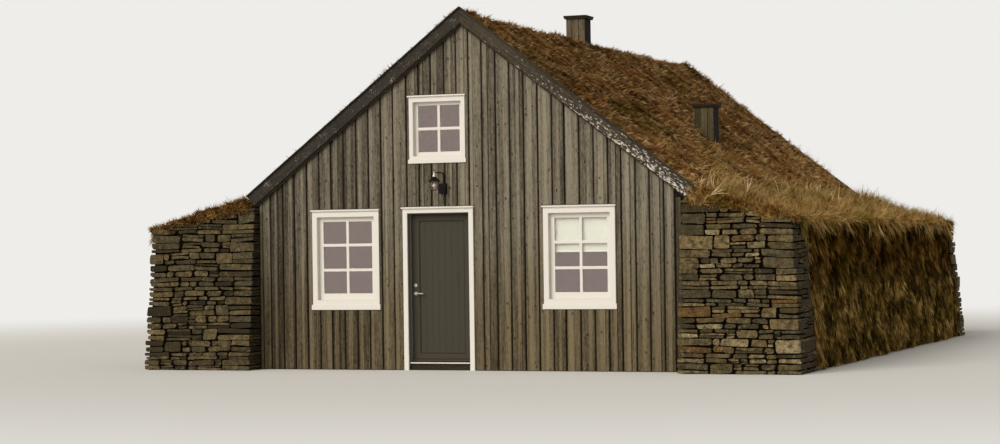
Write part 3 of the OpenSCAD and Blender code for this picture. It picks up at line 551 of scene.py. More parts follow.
# The pink tint of the panes' reflections is a painted reflection colour.
pane_glass = glass("window_glass", 2.4, "e6eae4", "ffe2dc")
jar_glass = glass("lamp_glass", 1.5, "f3e9e4", "ffffff")
bulb_glass = paint("bulb_glass", "d8c6b4", "c7b29c", "cbb8a2", 0.2, 0.25, 0.3)
blind_cloth = cloth_material("blind_cloth")
dry_stone = stone_material("dry_stone")
# Near-black core behind the stones: painted shade in the joints.
stone_core = core_material("stone_core", "0a0805", "17130c")
side_turf = turf_material(
    "side_turf", ["281d0c", "564622", "836a37", "b79553", "e6c783"],
    (32, 32, 10), "b4b67c", 0.5, upper=(LEDGE_Z, 0.3, "c8b8a2"), contrast=1.3, clumps=0.38)
roof_turf = turf_material(
    "roof_turf", ["3c2813", "83623a", "b58e58", "deb67a", "f7e0ad"],
    (17, 50, 17), "e2c8aa", 0.52, moss="b0b280", upper=(2.95, 0.7, "d2cece"), contrast=1.4)
blond_turf = turf_material(
    "blond_grass", ["35260c", "775a27", "a98850", "d2b277", "f2dfae"],
    (15, 42, 15), "e0a468", 0.56, moss="a2ab68")
straw = turf_material(
    "dry_straw", ["7a5a2a", "b08c52", "d4b57c", "ecd6a6", "f8ebc8"],
    (15, 42, 15), "f0d8b0", 0.56)
rust_turf = turf_material(
    "rusty_grass", ["281b0b", "5c401e", "8e693b", "c1985c", "ebce98"],
    (25, 42, 15), "d4bd94", 0.56)
# A darker copy of the rusty grass for the front lip of the wall tops: painted shade under the
# overhanging turf.
shaded_lip_turf = turf_material(
    "lip_grass", ["241809", "573b1b", "8a6533", "bc9355", "e8cb94"],
    (25, 42, 15), "d4bd94", 0.56)


# Pieces


def finish_piece(made, material, body="house", replaces=(), smooth=False):
    if made.name not in collection.objects:
        collection.objects.link(made)
    made.data.materials.clear()
    made.data.materials.append(material)
    for face in made.data.polygons:
        face.use_smooth = smooth
    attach(made, body)
    if replaces:
        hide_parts(*replaces)
    return made


def mesh_object(bm, name):
    mesh = bpy.data.meshes.new(name)
    bm.to_mesh(mesh)
    bm.free()
    return bpy.data.objects.new(name, mesh)


def finish_mesh(bm, name, material, body="house", replaces=(), smooth=False):
    bmesh.ops.recalc_face_normals(bm, faces=bm.faces)
    return finish_piece(mesh_object(bm, name), material, body, replaces, smooth)


def evaluated(source, name):
    """The object's mesh with its modifiers applied, as a new object."""
    bpy.context.view_layer.update()
    graph = bpy.context.evaluated_depsgraph_get()
    mesh = bpy.data.meshes.new_from_object(source.evaluated_get(graph))
    bpy.data.objects.remove(source)
    mesh.name = name
    made = bpy.data.objects.new(name, mesh)
    collection.objects.link(made)
    return made


def merged_copy(node):
    bm = bmesh.new()
    bm.from_mesh(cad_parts[node].data)
    bmesh.ops.remove_doubles(bm, verts=bm.verts, dist=0.00005)
    bmesh.ops.dissolve_limit(bm, angle_limit=math.radians(1), verts=bm.verts, edges=bm.edges)
    return bm


def bevel(bm, edges, width, segments=2):
    bmesh.ops.bevel(bm, geom=edges, offset=width, offset_type="OFFSET", segments=segments,
                    profile=0.5, affect="EDGES", material=-1, clamp_overlap=True)


def sharp_edges(bm, angle=25):
    return [e for e in bm.edges
            if len(e.link_faces) == 2 and e.calc_face_angle(0) > math.radians(angle)]


def box(bm, x0, x1, y0, y1, z0, z1, tone=0.5):
    layer = bm.faces.layers.float.get("tone") or bm.faces.layers.float.new("tone")
    middle = Vector(((x0 + x1) / 2, (y0 + y1) / 2, (z0 + z1) / 2))
    place = Matrix.Translation(middle) @ Matrix.Diagonal((x1 - x0, y1 - y0, z1 - z0, 1))
    verts = bmesh.ops.create_cube(bm, size=1, matrix=place)["verts"]
    for face in {f for v in verts for f in v.link_faces}:
        face[layer] = tone
    return verts


def rounded_box(name, corners, soft, material, replaces=()):
    """A board or bar with its edges rounded by soft. corners are what box takes."""
    bm = bmesh.new()
    box(bm, *corners)
    bevel(bm, sharp_edges(bm), soft)
    return finish_mesh(bm, name, material, replaces=replaces)


def softened(node, width, material, body="house"):
    """Stands for a node with the same shape and rounded edges."""
    bm = merged_copy(node)
    bevel(bm, sharp_edges(bm), width)
    finish_mesh(bm, node + "_worn", material, body, [node])


def dress(material, *nodes):
    for node in nodes:
        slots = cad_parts[node].material_slots
        for each in slots:
            each.material = material
        if not slots:
            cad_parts[node].data.materials.append(material)


# The walls behind the boards are near black: painted shade in the open joints between the boards.
dress(backing_wood, "front_wall_left", "front_wall_right", "front_gable", "back_gable_wall")
dress(inner_wood, "ground_floor", "left_inner_wall", "right_inner_wall", "loft_joists",
      "loft_floor", "rafters")
dress(roof_edge_wood, "left_roof_boards", "right_roof_boards")
dress(steel, "frame_hinges", "leaf_fittings", "door_handle")
dress(pane_glass, "window_panes")
dress(jar_glass, "lamp_jar")


# Floor and light


BACKGROUND = "eeedea"


def make_stage():
    """A pale floor that fades into the background far from the house."""
    bm = bmesh.new()
    bmesh.ops.create_grid(bm, x_segments=1, y_segments=1, size=45)
    floor = mesh_object(bm, "floor")
    collection.objects.link(floor)
    made, tree, shader, at = new_material("floor", Base_Color=colour("e8e5de"), Roughness=0.95)
    far = between(tree, vector_calc(tree, "LENGTH", at), 9.0, 26.0)
    glow = add(tree, "ShaderNodeEmission", Color=colour(BACKGROUND))
    show_either(tree, times(tree, far, seen_rays(tree)), shader, glow)
    floor.data.materials.append(made)
    floor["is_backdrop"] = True


def make_light():
    world = bpy.data.worlds.new("sky")
    bpy.context.scene.world = world
    world.use_nodes = True
    tree = world.node_tree
    sky = tree.nodes["Background"]
    sky.inputs["Color"].default_value = (1, 0.965, 0.91, 1)
    sky.inputs["Strength"].default_value = 0.3
    plain = add(tree, "ShaderNodeBackground", Color=colour(BACKGROUND))
    show_either(tree, seen_rays(tree), sky, plain, "World Output")
    data = bpy.data.lights.new("sun", "SUN")
    data.energy = 2.5
    data.angle = math.radians(40)
    data.color = (1, 0.97, 0.93)
    sun = bpy.data.objects.new("sun", data)
    side, rise = math.radians(17), math.radians(30)
    towards = Vector((-math.sin(side) * math.cos(rise), -math.cos(side) * math.cos(rise),
                      math.sin(rise)))
    sun.matrix_world = towards.to_track_quat("Z", "Y").to_matrix().to_4x4()
    collection.objects.link(sun)


make_stage()
make_light()


# Joinery

for each in ("left_window_frame", "left_window_sash", "right_window_frame", "right_window_sash",
             "loft_window_frame", "loft_window_sash", "back_window", "door_casing"):
    softened(each, 0.004, cream_paint)
softened("door_frame", 0.003, grey_paint)
softened("door_leaf", 0.0025, door_paint, "door")
softened("chimney_caps", 0.006, cap_wood)


def lay_threshold():
    """A white strip over a dark riser board."""
    low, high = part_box("threshold")
    strip_t = 0.014
    rounded_box("threshold_strip",
                (low.x, high.x, low.y - 0.006, high.y, high.z - strip_t, high.z),
                0.004, threshold_paint, ["threshold"])
    rounded_box("threshold_riser",
                (low.x, high.x, low.y + 0.02, high.y - 0.001, low.z, high.z - strip_t - 0.0005),
                0.003, riser_wood)


def frame_panel():
    """Dark strips round the panel of the leaf, on both faces: painted shade in the recess round the
    panel.
    """
    low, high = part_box("door_leaf")
    stile, bottom_rail, top_rail, leaf_t, wide = 0.108, 0.105, 0.095, 0.045, 0.013
    x0, x1, z0, z1 = low.x + stile, high.x - stile, low.z + bottom_rail, high.z - top_rail
    inner, outer = high.y, high.y - leaf_t
    bm = bmesh.new()
    for y0, y1 in ((outer + 0.003, outer + 0.0105), (inner - 0.0105, inner - 0.003)):
        for a, b, c, d in ((x0, x0 + wide, z0, z1), (x1 - wide, x1, z0, z1),
                           (x0 + wide, x1 - wide, z0, z0 + wide),
                           (x0 + wide, x1 - wide, z1 - wide, z1)):
            box(bm, a, b, y0, y1, c, d)
    bevel(bm, sharp_edges(bm), 0.002)
    finish_mesh(bm, "door_panel_moulding", panel_shade_paint, "door")


lay_threshold()
frame_panel()


# Bargeboards


HALF_JOINT = 0.0005
PEAK_LAP = 0.13


def rough_bargeboard(name, side, y0, y1, y_cap, material, rag):
    """A bargeboard with a ragged lower edge, uneven face and a dark strip along its top."""
    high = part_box("front_bargeboards")[1]
    length = (high.x - HALF_JOINT) / math.cos(ROOF_PITCH)
    width = 0.168
    bm = bmesh.new()
    bark = bm.verts.layers.float.new("bark")
    inner, outer = sorted((y0, y1))
    box(bm, 0, length, inner, outer, -width, -0.012)
    long_edges = [e for e in bm.edges if abs(e.verts[0].co.x - e.verts[1].co.x) > 1]
    bmesh.ops.subdivide_edges(bm, edges=long_edges, cuts=170)
    upright = [e for e in bm.edges if abs(e.verts[0].co.z - e.verts[1].co.z) > 0.1]
    bmesh.ops.subdivide_edges(bm, edges=upright, cuts=6)
    for vert in bm.verts:
        at = vert.co.copy()
        along = at.x / length
        vert[bark] = min(1, 0.25 + 0.9 * along) * (0.55 - 0.45 * at.z / width)
        wave = noise.noise(Vector((at.x * 7, side * 3, 0))) * 0.5
        wave += noise.noise(Vector((at.x * 29, side * 7, 1))) * (0.3 + 0.6 * along)
        if at.z < -width + 0.001:
            vert.co.z += 0.024 * rag * wave
        if abs(at.y - y1) < 0.001:
            depth = noise.noise(Vector((at.x * 12, at.z * 22, side))) * 0.6
            depth += noise.noise(Vector((at.x * 38, at.z * 55, side))) * 0.7
            vert.co.y += math.copysign(0.011 * rag * depth, y1 - y0)
    made = finish_sloped(bm, name, side, high.z, material)
    bm = bmesh.new()
    cap_low, cap_high = sorted((y0, y_cap))
    box(bm, 0, length, cap_low, cap_high, -0.0118, 0.002)
    bmesh.ops.subdivide_edges(bm, edges=[e for e in bm.edges if e.calc_length() > 1], cuts=60)
    for vert in bm.verts:
        vert.co.y += 0.004 * noise.noise(Vector((vert.co.x * 9, side, 4)))
        vert.co.z += 0.003 * noise.noise(Vector((vert.co.x * 6, side, 8)))
    finish_sloped(bm, name + "_strip", side, high.z, barge_cap_wood)
    return made


def finish_sloped(bm, name, side, peak, material):
    """Lays a piece made along X down one slope of the gable and cuts it upright at the peak."""
    turn = Matrix.Rotation(ROOF_PITCH, 4, "Y")
    lift = Matrix.Translation((-PEAK_LAP, 0, peak + PEAK_LAP * SLOPE))
    bmesh.ops.transform(bm, matrix=lift @ turn, verts=bm.verts)
    end = max(v.co.x for v in bm.verts)
    lap = Vector((PEAK_LAP, 0, -PEAK_LAP * SLOPE))
    for vert in bm.verts:
        vert.co += lap * max(0, (vert.co.x - 0.3) / (end - 0.3))
    bmesh.ops.bisect_plane(bm, geom=bm.verts[:] + bm.edges[:] + bm.faces[:],
                           plane_co=(HALF_JOINT, 0, 0), plane_no=(-1, 0, 0), clear_outer=True)
    bmesh.ops.holes_fill(bm, edges=[e for e in bm.edges if len(e.link_faces) == 1])
    if side < 0:
        bmesh.ops.scale(bm, vec=(-1, 1, 1), verts=bm.verts)
    return finish_mesh(bm, name, material)


def hang_bargeboards():
    for node, label, out in (("front_bargeboards", "front", -1), ("back_bargeboards", "back", 1)):
        low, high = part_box(node)
        inner, tip = (high.y, low.y) if out < 0 else (low.y, high.y)
        places = inner, inner + out * 0.03, tip
        left = rough_bargeboard(label + "_left_bargeboard", -1, *places, left_barge_wood, 0.5)
        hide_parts(node)
        rough_bargeboard(label + "_right_bargeboard", 1, *places, right_barge_wood, 1.0)


hang_bargeboards()


# Chimneys


def chimney_boards(name, middle, half, top, seat, faces, material, rng):
    """Three upright boards on each of the named faces of a chimney box."""
    x, y = middle
    thick = 0.022
    bm = bmesh.new()
    for i in range(3):
        a = -half + i * 2 * half / 3
        b = a + 2 * half / 3 - 0.005
        for side_x, side_y in faces:
            tone, inset = rng.random(), rng.uniform(0, 0.004)
            side = side_x or side_y
            back, face = sorted((side * (half - thick), side * (half - inset)))
            if side_y:
                verts = box(bm, x + a, x + b, y + back, y + face, 0, top - 0.001, tone)
            else:
                first, last = (thick if i == 0 else 0), (thick if i == 2 else 0)
                verts = box(bm, x + back, x + face, y + a + first, y + b - last, 0, top - 0.001,
                            tone)
            for vert in verts:
                if vert.co.z < 0.1:
                    vert.co.z = roof_z(seat, vert.co.x) + 0.001
    upright = [e for e in sharp_edges(bm) if abs(e.verts[0].co.z - e.verts[1].co.z) > 0.1]
    bevel(bm, upright, 0.003)
    return finish_mesh(bm, name, material)


def box_of(bm, keep):
    """The corners of the part of a mesh that keep chooses."""
    chosen = [v.co for v in bm.verts if keep(v.co)]
    return [[f(c[axis] for c in chosen) for axis in range(3)] for f in (min, max)]


def build_chimneys():
    seat = ROOF_HIGH.z - ROOF_TURF_T / math.cos(ROOF_PITCH)
    bm = merged_copy("chimneys")
    rng = random.Random(14)
    for label, material, keep in (("ridge", chimney_wood, lambda at: at.x < 0.5),
                                  ("slope", mossy_wood, lambda at: at.x > 0.5)):
        low, high = box_of(bm, keep)
        half = (high[0] - low[0]) / 2
        middle = ((low[0] + high[0]) / 2, (low[1] + high[1]) / 2)
        lit = chimney_boards(label + "_chimney", middle, half, high[2], seat, [(0, -1), (-1, 0)],
                             material, rng)
        # The back and right faces: near-black boards, part darker wood, part painted shade.
        chimney_boards(label + "_chimney_lee", middle, half, high[2], seat, [(0, 1), (1, 0)],
                       dark_wood_and_painted_shade, rng)
        if label == "ridge":
            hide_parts("chimneys")
    bm.free()


build_chimneys()


# Wall lamp


def tube(name, points, radius, material, resolution=3):
    """A round rod along a few points, as a mesh."""
    curve = bpy.data.curves.new(name, "CURVE")
    curve.dimensions = "3D"
    curve.bevel_depth = radius
    curve.bevel_resolution = resolution
    curve.use_fill_caps = True
    curve.resolution_u = 8
    line = curve.splines.new("BEZIER")
    line.bezier_points.add(len(points) - 1)
    for point, place in zip(line.bezier_points, points):
        point.co = place
        point.handle_left_type = point.handle_right_type = "AUTO"
    source = bpy.data.objects.new(name, curve)
    collection.objects.link(source)
    finish_piece(evaluated(source, name), material, smooth=True)


def lathe(name, outline, x, y, material):
    """A turned piece: (radius, height) pairs spun round an upright axis."""
    bm = bmesh.new()
    verts = [bm.verts.new((max(radius, 0.0), 0, z)) for radius, z in outline]
    edges = [bm.edges.new(pair) for pair in zip(verts, verts[1:])]
    bmesh.ops.spin(bm, geom=verts + edges, axis=(0, 0, 1), cent=(0, 0, 0), steps=32,
                   angle=math.tau, use_merge=True)
    bmesh.ops.remove_doubles(bm, verts=bm.verts, dist=0.00005)
    bmesh.ops.translate(bm, vec=(x, y, 0), verts=bm.verts)
    return finish_mesh(bm, name, material, smooth=True)


def build_lamp():
    low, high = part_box("lamp_bracket")
    shade_low, shade_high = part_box("lamp_shade")
    jar_low, jar_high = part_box("lamp_jar")
    x = (low.x + high.x) / 2
    out_y = (shade_low.y + shade_high.y) / 2
    arm_z = high.z - 0.009
    wire_r = 0.0022
    bm = bmesh.new()
    box(bm, low.x, high.x, FACE_Y - 0.058, FACE_Y, low.z, low.z + 0.13)
    bevel(bm, sharp_edges(bm), 0.006, 3)
    box(bm, low.x - 0.003, high.x + 0.003, FACE_Y - 0.07, FACE_Y - 0.056, low.z - 0.003,
        low.z + 0.133)
    bevel(bm, [e for e in sharp_edges(bm, 60) if e.calc_length() > 0.09], 0.004, 2)
    for dx in (-1, 1):
        for dz in (-1, 1):
            place = Matrix.Translation((x + dx * 0.036, FACE_Y - 0.071, low.z + 0.065 + dz * 0.053))
            bmesh.ops.create_cone(bm, cap_ends=True, segments=12, radius1=0.005, radius2=0.005,
                                  depth=0.004, matrix=place @ Matrix.Rotation(math.pi / 2, 4, "X"))
    made = finish_mesh(bm, "lamp_wall_box", enamel)
    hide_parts("lamp_bracket")
    pipe_y = FACE_Y - 0.035
    bends = [(pipe_y, low.z + 0.125), (pipe_y, arm_z - 0.045), (pipe_y - 0.006, arm_z - 0.014),
             (pipe_y - 0.03, arm_z), ((pipe_y + out_y) / 2, arm_z), (out_y + 0.012, arm_z)]
    tube("lamp_pipe", [(x, y, z) for y, z in bends], 0.009, pipe_metal)
    top = shade_high.z
    lathe("lamp_neck", [(0, arm_z + 0.012), (0.010, arm_z + 0.011), (0.0135, arm_z + 0.006),
                        (0.0135, arm_z - 0.008), (0.0125, arm_z - 0.014), (0.017, arm_z - 0.026),
                        (0.021, arm_z - 0.038), (0.0235, top + 0.008), (0.0245, top + 0.001),
                        (0, top + 0.001)], x, out_y, zinc)
    flare = [(0, 0), (0.024, 0), (0.028, 0.004), (0.034, 0.011), (0.046, 0.022), (0.064, 0.041),
             (0.0865, 0.0595), (0.0870, 0.062), (0.0850, 0.062), (0.062, 0.043), (0.042, 0.0245),
             (0.031, 0.0125), (0.0235, 0.004), (0, 0.004)]
    shade = lathe("lamp_shade_flared", [(radius, top - down) for radius, down in flare], x, out_y,
                  enamel)
    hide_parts("lamp_shade")
    for i in range(4):
        way = math.radians(45 + 90 * i)
        cos, sin = math.cos(way), math.sin(way)
        outline = [(0.058, shade_low.z + 0.008), (0.0605, shade_low.z - 0.03),
                   (0.0605, jar_low.z + 0.045), (0.048, jar_low.z + 0.016),
                   (0.03, jar_low.z - 0.001), (0.004, jar_low.z - 0.006)]
        tube("lamp_guard_wire_%d" % i, [(x + r * cos, out_y + r * sin, z) for r, z in outline],
             wire_r, wire_metal, 2)
    for label, z in (("upper", shade_low.z - 0.012), ("lower", jar_low.z + 0.04)):
        bm = bmesh.new()
        place = Matrix.Translation((0.062, 0, 0)) @ Matrix.Rotation(math.pi / 2, 4, "X")
        bmesh.ops.create_circle(bm, segments=8, radius=wire_r, matrix=place)
        bmesh.ops.spin(bm, geom=list(bm.verts) + list(bm.edges), axis=(0, 0, 1), cent=(0, 0, 0),
                       steps=40, angle=math.tau, use_merge=True)
        bmesh.ops.translate(bm, vec=(x, out_y, z), verts=bm.verts)
        finish_mesh(bm, "lamp_guard_ring_" + label, wire_metal, smooth=True)
    bulb = [(0, 0.03), (0.012, 0.033), (0.022, 0.045), (0.026, 0.062), (0.022, 0.08),
            (0.013, 0.098)]
    socket_z = jar_high.z - 0.012
    lathe("lamp_bulb", [(radius, jar_low.z + up) for radius, up in bulb]
          + [(0.013, socket_z), (0, socket_z)], x, out_y, bulb_glass)


def hang_blind():
    low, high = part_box("roller_blind")
    radius = 0.018
    roll_y, roll_z = (low.y + high.y) / 2, high.z - radius
    bm = bmesh.new()
    place = Matrix.Translation(((low.x + high.x) / 2, roll_y, roll_z))
    bmesh.ops.create_cone(bm, cap_ends=True, segments=28, radius1=radius - 0.001,
                          radius2=radius - 0.001, depth=high.x - low.x - 0.004,
                          matrix=place @ Matrix.Rotation(math.pi / 2, 4, "Y"))
    bevel(bm, sharp_edges(bm, 60), 0.002)
    made = finish_mesh(bm, "blind_roller", blind_cloth)
    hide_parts("roller_blind")
    cloth_x0, cloth_x1 = low.x + 0.031, high.x - 0.031
    y = roll_y - radius + 0.0005
    drop = roll_z - low.z - 0.004
    bm = bmesh.new()
    bmesh.ops.create_grid(bm, x_segments=32, y_segments=28, size=0.5)
    for vert in bm.verts:
        u, v = vert.co.x + 0.5, vert.co.y + 0.5
        sway = 0.0022 * math.sin(u * 9 + 1) * (1 - v)
        sway += 0.0012 * noise.noise(Vector((u * 6, v * 3, 0)))
        vert.co = Vector((cloth_x0 + u * (cloth_x1 - cloth_x0), y - 0.002 + sway,
                          roll_z - (1 - v) * drop))
    cloth = finish_mesh(bm, "blind_sheet", blind_cloth, smooth=True)
    corners = (cloth_x0 - 0.004, cloth_x1 + 0.004, y - 0.008, y + 0.002, low.z, low.z + 0.016)
    bar = rounded_box("blind_bottom_bar", corners, 0.0025, cream_paint)


build_lamp()
hang_blind()


# Board cladding, cut round the casings


def clear_pieces(x0, x1, z0, z1, holes):
    """What is left of a board once the rectangles are cut out of it."""
    levels = sorted({z0, z1} | {z for hole in holes for z in hole[2:] if z0 < z < z1})
    kept = []
    for low, high in zip(levels, levels[1:]):
        spans = [(x0, x1)]
        for left, right, bottom, top in holes:
            if bottom < (low + high) / 2 < top:
                spans = [part for a, b in spans for part in ((a, min(b, left)), (max(a, right), b))
                         if part[1] - part[0] > 0.004]
        for a, b in spans:
            if kept and kept[-1][:2] == (a, b) and kept[-1][3] == low:
                kept[-1] = (a, b, kept[-1][2], high)
            else:
                kept.append((a, b, low, high))
    return kept


def casing_holes(node, sill_h):
    """The drip cap, the casing and the sill of a window as three rectangles."""
    low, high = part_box(node)
    gap, side_out, drip_h = 0.004, 0.014, 0.026
    holes = [(low.x - gap, high.x + gap, high.z - drip_h - gap, high.z + gap),
             (low.x + side_out - gap, high.x - side_out + gap, low.z, high.z)]
    if sill_h:
        holes.append((low.x - gap, high.x + gap, low.z - gap, low.z + sill_h + gap))
    return holes


BOARD_PITCH = 0.1845
BOARD_JOINT = 0.01
BOARD_T = 0.022
LOWER_SILL_H = 0.075
LOFT_SILL_H = 0.06


def clad(name, wall_y, out, z_low, holes, seed, left_end, right_end):
    """Upright boards with open joints: each has a paler band, and some a groove beside it."""
    rng = random.Random(seed)
    bm = bmesh.new()
    boards = []
    x = left_end
    while x < right_end - 0.05:
        end = min(x + BOARD_PITCH * rng.uniform(0.92, 1.08), right_end)
        if right_end - end < 0.08:
            end = right_end
        edge = end - BOARD_JOINT * rng.uniform(0.7, 1.3)
        thick = BOARD_T + rng.uniform(-0.003, 0.003)
        pale, wide = rng.uniform(0, 0.6), rng.uniform(0.2, 0.45)
        boards.append((x, edge, thick, pale, pale + wide, rng.random() < 0.45))
        tone = 0.75 * rng.random() + 0.6 * (x - left_end) / (right_end - left_end) - 0.05
        y0, y1 = sorted((wall_y, wall_y + out * thick))
        for x0, x1, z0, z1 in clear_pieces(x, edge, z_low, BOARD_LOW + 0.1, holes):
            box(bm, x0, x1, y0, y1, z0, z1, tone)
        x = end
    level = [e for e in bm.edges if abs(e.verts[0].co.x - e.verts[1].co.x) > 0.001]
    bmesh.ops.subdivide_edges(bm, edges=level, cuts=15)
    dark = bm.verts.layers.float.new("edge")
    for vert in bm.verts:
        x, edge, thick, pale, end, grooved = [
            each for each in boards if each[0] < vert.co.x + 0.0005][-1]
        across = (vert.co.x - x) / (edge - x)
        if abs(vert.co.y - wall_y) > 0.001:
            rim = max(0, abs(across - 0.5) - 0.42) / 0.08
            groove = 0.7 if grooved and abs(across - end) < 0.035 else 0
            vert.co.y = wall_y + out * thick * (1 - 0.35 * rim - 0.6 * groove)
            # Painted shade at the rounded rims by the joints and in the grooves; the paler band and
            # the darker rest of each board are its own tone.
            vert[dark] = rim ** 2 + 0.8 * groove + (-0.24 if pale < across < end else 0.12)
        vert.co.z = min(vert.co.z, roof_z(BOARD_LOW + 0.03, vert.co.x))
    finish_mesh(bm, name + "_boards", boards_wood)


def clad_gables():
    holes = []
    for node, sill_h in (("left_window_frame", LOWER_SILL_H), ("right_window_frame", LOWER_SILL_H),
                         ("loft_window_frame", LOFT_SILL_H), ("door_casing", 0)):
        holes += casing_holes(node, sill_h)
    lamp_low, lamp_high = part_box("lamp_bracket")
    middle = (lamp_low.x + lamp_high.x) / 2
    holes.append((middle - 0.049, middle + 0.049, lamp_low.z - 0.005, lamp_low.z + 0.135))
    clad("front", FACE_Y, -1, 0.008, holes, 4, -HALF_W, HALF_W - 0.135)
    clad("back", BACK_Y, 1, BACK_TOP + 0.02, casing_holes("back_window", LOFT_SILL_H), 9,
         -HALF_W, HALF_W)
    corners = (HALF_W - 0.125, HALF_W - 0.06, FACE_Y - BOARD_T, FACE_Y, 0.008,
               roof_z(BOARD_LOW, HALF_W) - 0.004, 0.2)
    rounded_box("corner_strip", corners, 0.004, corner_wood)


clad_gables()


# Dry stone


def wall_height(x):
    """Height of a side wall's top at a distance from the middle of the house."""
    return WALL_TOP - WALL_FALL * (abs(x) - HALF_W) / (OUTER_X - HALF_W)


STONE_DEPTH = 0.24

# The stones have the same rough faces in every run

noise.seed_set(1)


class Courses:
    """Stones of a wall, laid from the ground up in pairs of courses."""

    def __init__(self, seed):
        self.rng = random.Random(seed)
        self.stones = []

    def pairs(self, top, size=1.0):
        z = 0.0
        while z < top:
            first = self.rng.uniform(0.045, 0.09) * size
            second = self.rng.uniform(0.04, 0.1) * size
            yield z, z + first, z + first + second
            z += first + second

    def put(self, x0, x1, y0, y1, z0, z1):
        self.stones.append((x0, x1, y0, y1, z0, z1))

    def fill(self, start, end, levels, lay):
        """Fills the length from start to end with single blocks and runs of thinner stones."""
        u = start
        while u < end - 0.02:
            block = self.rng.random() < 0.2
            bay = self.rng.uniform(0.16, 0.36) if block else self.rng.uniform(0.45, 0.95)
            stop = end if end - u - bay < 0.16 else u + bay
            if block and stop - u < 0.5:
                lay(u, stop, levels[0], levels[2])
            else:
                for z0, z1 in zip(levels, levels[1:]):
                    self.run(u, stop, z0, z1, lay)
            u = stop

    def run(self, start, stop, z0, z1, lay):
        u = start
        while u < stop - 0.001:
            length = self.rng.uniform(0.1, 0.42)
            end = stop if stop - u - length < 0.08 else u + length
            if z1 - z0 > 0.062 and self.rng.random() < 0.35:
                middle = z0 + (z1 - z0) * self.rng.uniform(0.4, 0.6)
                lay(u, end, z0, middle)
                lay(u, end, middle, z1)
            else:
                lay(u, end, z0, z1)
            u = end

    def split(self, levels):
        """One block over both courses, or two stones."""
        if self.rng.random() < 0.35:
            return [(levels[0], levels[2])]
        return list(zip(levels, levels[1:]))

    def mesh(self, top_at, darkest=0.0, lightest=1.0, corners=False):
        """The stones as rough blocks. corners also rounds the edges that run back."""
        bm = bmesh.new()
        rng = self.rng
        for x0, x1, y0, y1, z0, z1 in self.stones:
            z1 = min(z1, top_at((x0 + x1) / 2, (y0 + y1) / 2) - 0.006)
            if z1 - z0 < 0.016:
                continue
            gap, slot = rng.uniform(0.001, 0.006), rng.uniform(0.0005, 0.0035)
            verts = box(bm, x0 + gap, x1 - gap, y0 + gap, y1 - gap, z0 + slot, z1 - slot,
                        darkest + rng.random() * (lightest - darkest))
            middle = Vector(((x0 + x1) / 2, (y0 + y1) / 2, (z0 + z1) / 2))
            tilt = rng.uniform(-0.035, 0.035)
            thin = min(0.014, (z1 - z0) * 0.22)
            inside = HALF_W + 0.1 < abs(x0) < OUTER_X - 0.3
            wide = min(0.028 if inside else 0.01, (x1 - x0) * 0.12)
            for vert in verts:
                away = vert.co - middle
                vert.co += Vector((
                    -math.copysign(rng.uniform(-0.1, 1) * wide, away.x), rng.uniform(-0.012, 0.012),
                    tilt * away.x - math.copysign(rng.uniform(-0.4, 1) * thin, away.z)))
            if corners:
                deep = [e for e in {e for v in verts for e in v.link_edges}
                        if abs(e.verts[0].co.y - e.verts[1].co.y) > 0.7 * e.calc_length()]
                deep.sort(key=lambda e: (e.verts[0].co.x + e.verts[1].co.x, e.verts[0].co.z))
                bevel(bm, deep, rng.uniform(0.3, 1) * min(0.026, (z1 - z0) * 0.34), 1)
        long_edges = [e for e in bm.edges if e.calc_length() > 0.19]
        bmesh.ops.subdivide_edges(bm, edges=long_edges, cuts=1, use_grid_fill=True)
        bevel(bm, sharp_edges(bm, 25 if corners else 40), 0.005 if corners else 0.011, 1)
        layer = bm.faces.layers.float["tone"]
        for vert in bm.verts:
            own = vert.link_faces[0][layer] * 90
            at = vert.co.copy()
            vert.co += noise.noise_vector(at * 9 + Vector((own, 0, own))) * 0.011
            vert.co += noise.noise_vector(at * 24 + Vector((0, own, own))) * 0.007
            rise = min(1, at.z / 0.3) * 0.03
            vert.co.z += rise * noise.noise(Vector((at.x * 1.1, at.y * 1.1, at.z * 0.5)))
            vert.co.z = max(vert.co.z, 0.0)
        return bm


def stone_end(name, side, lean, seed, tones):
    """Stones round the front, the inner return and the outer return of a wall end."""
    laid = Courses(seed)
    rng = laid.rng
    for levels in laid.pairs(WALL_TOP):
        z = (levels[0] + levels[2]) / 2
        front = FRONT_FOOT + END_LEAN * z
        outer = OUTER_X - lean * z
        inner_w, outer_w = rng.uniform(0.2, 0.5), rng.uniform(0.2, 0.5)
        outer_d = 0.66 - outer_w + rng.uniform(-0.05, 0.05)
        for z0, z1 in laid.split(levels):
            laid.put(HALF_W - 0.025, HALF_W + inner_w, front + rng.uniform(0, 0.014),
                     FACE_Y - 0.03, z0, z1)
        for z0, z1 in laid.split(levels):
            laid.put(outer - outer_w, outer - rng.uniform(0, 0.006), front + rng.uniform(0, 0.014),
                     front + outer_d, z0, z1)
        laid.fill(HALF_W + inner_w, outer - outer_w, levels,
                  lambda a, b, z0, z1: laid.put(a, b, front + rng.uniform(0, 0.034),
                                                front + STONE_DEPTH, z0, z1))
        laid.fill(front + outer_d, PIER_Y, levels,
                  lambda a, b, z0, z1: laid.put(outer - STONE_DEPTH,
                                                outer - rng.uniform(0, 0.02), a, b, z0, z1))
    bm = laid.mesh(lambda x, y: wall_height(x) + 0.03, *tones, corners=True)
    bm.normal_update()
    layer = bm.faces.layers.float["tone"]
    # Painted shade: the faces of both returns get the darkest tones, since the ones in view, the
    # outer return of the right end and the inner return of the left end, face away from the light.
    for face in bm.faces:
        if face.normal.x > 0.8:
            face[layer] = 0.03 + 0.12 * face[layer]
        elif face.normal.x < -0.8:
            face[layer] *= 0.04
    if side < 0:
        bmesh.ops.scale(bm, vec=(-1, 1, 1), verts=bm.verts)
        bmesh.ops.reverse_faces(bm, faces=bm.faces)
    finish_mesh(bm, name, dry_stone)


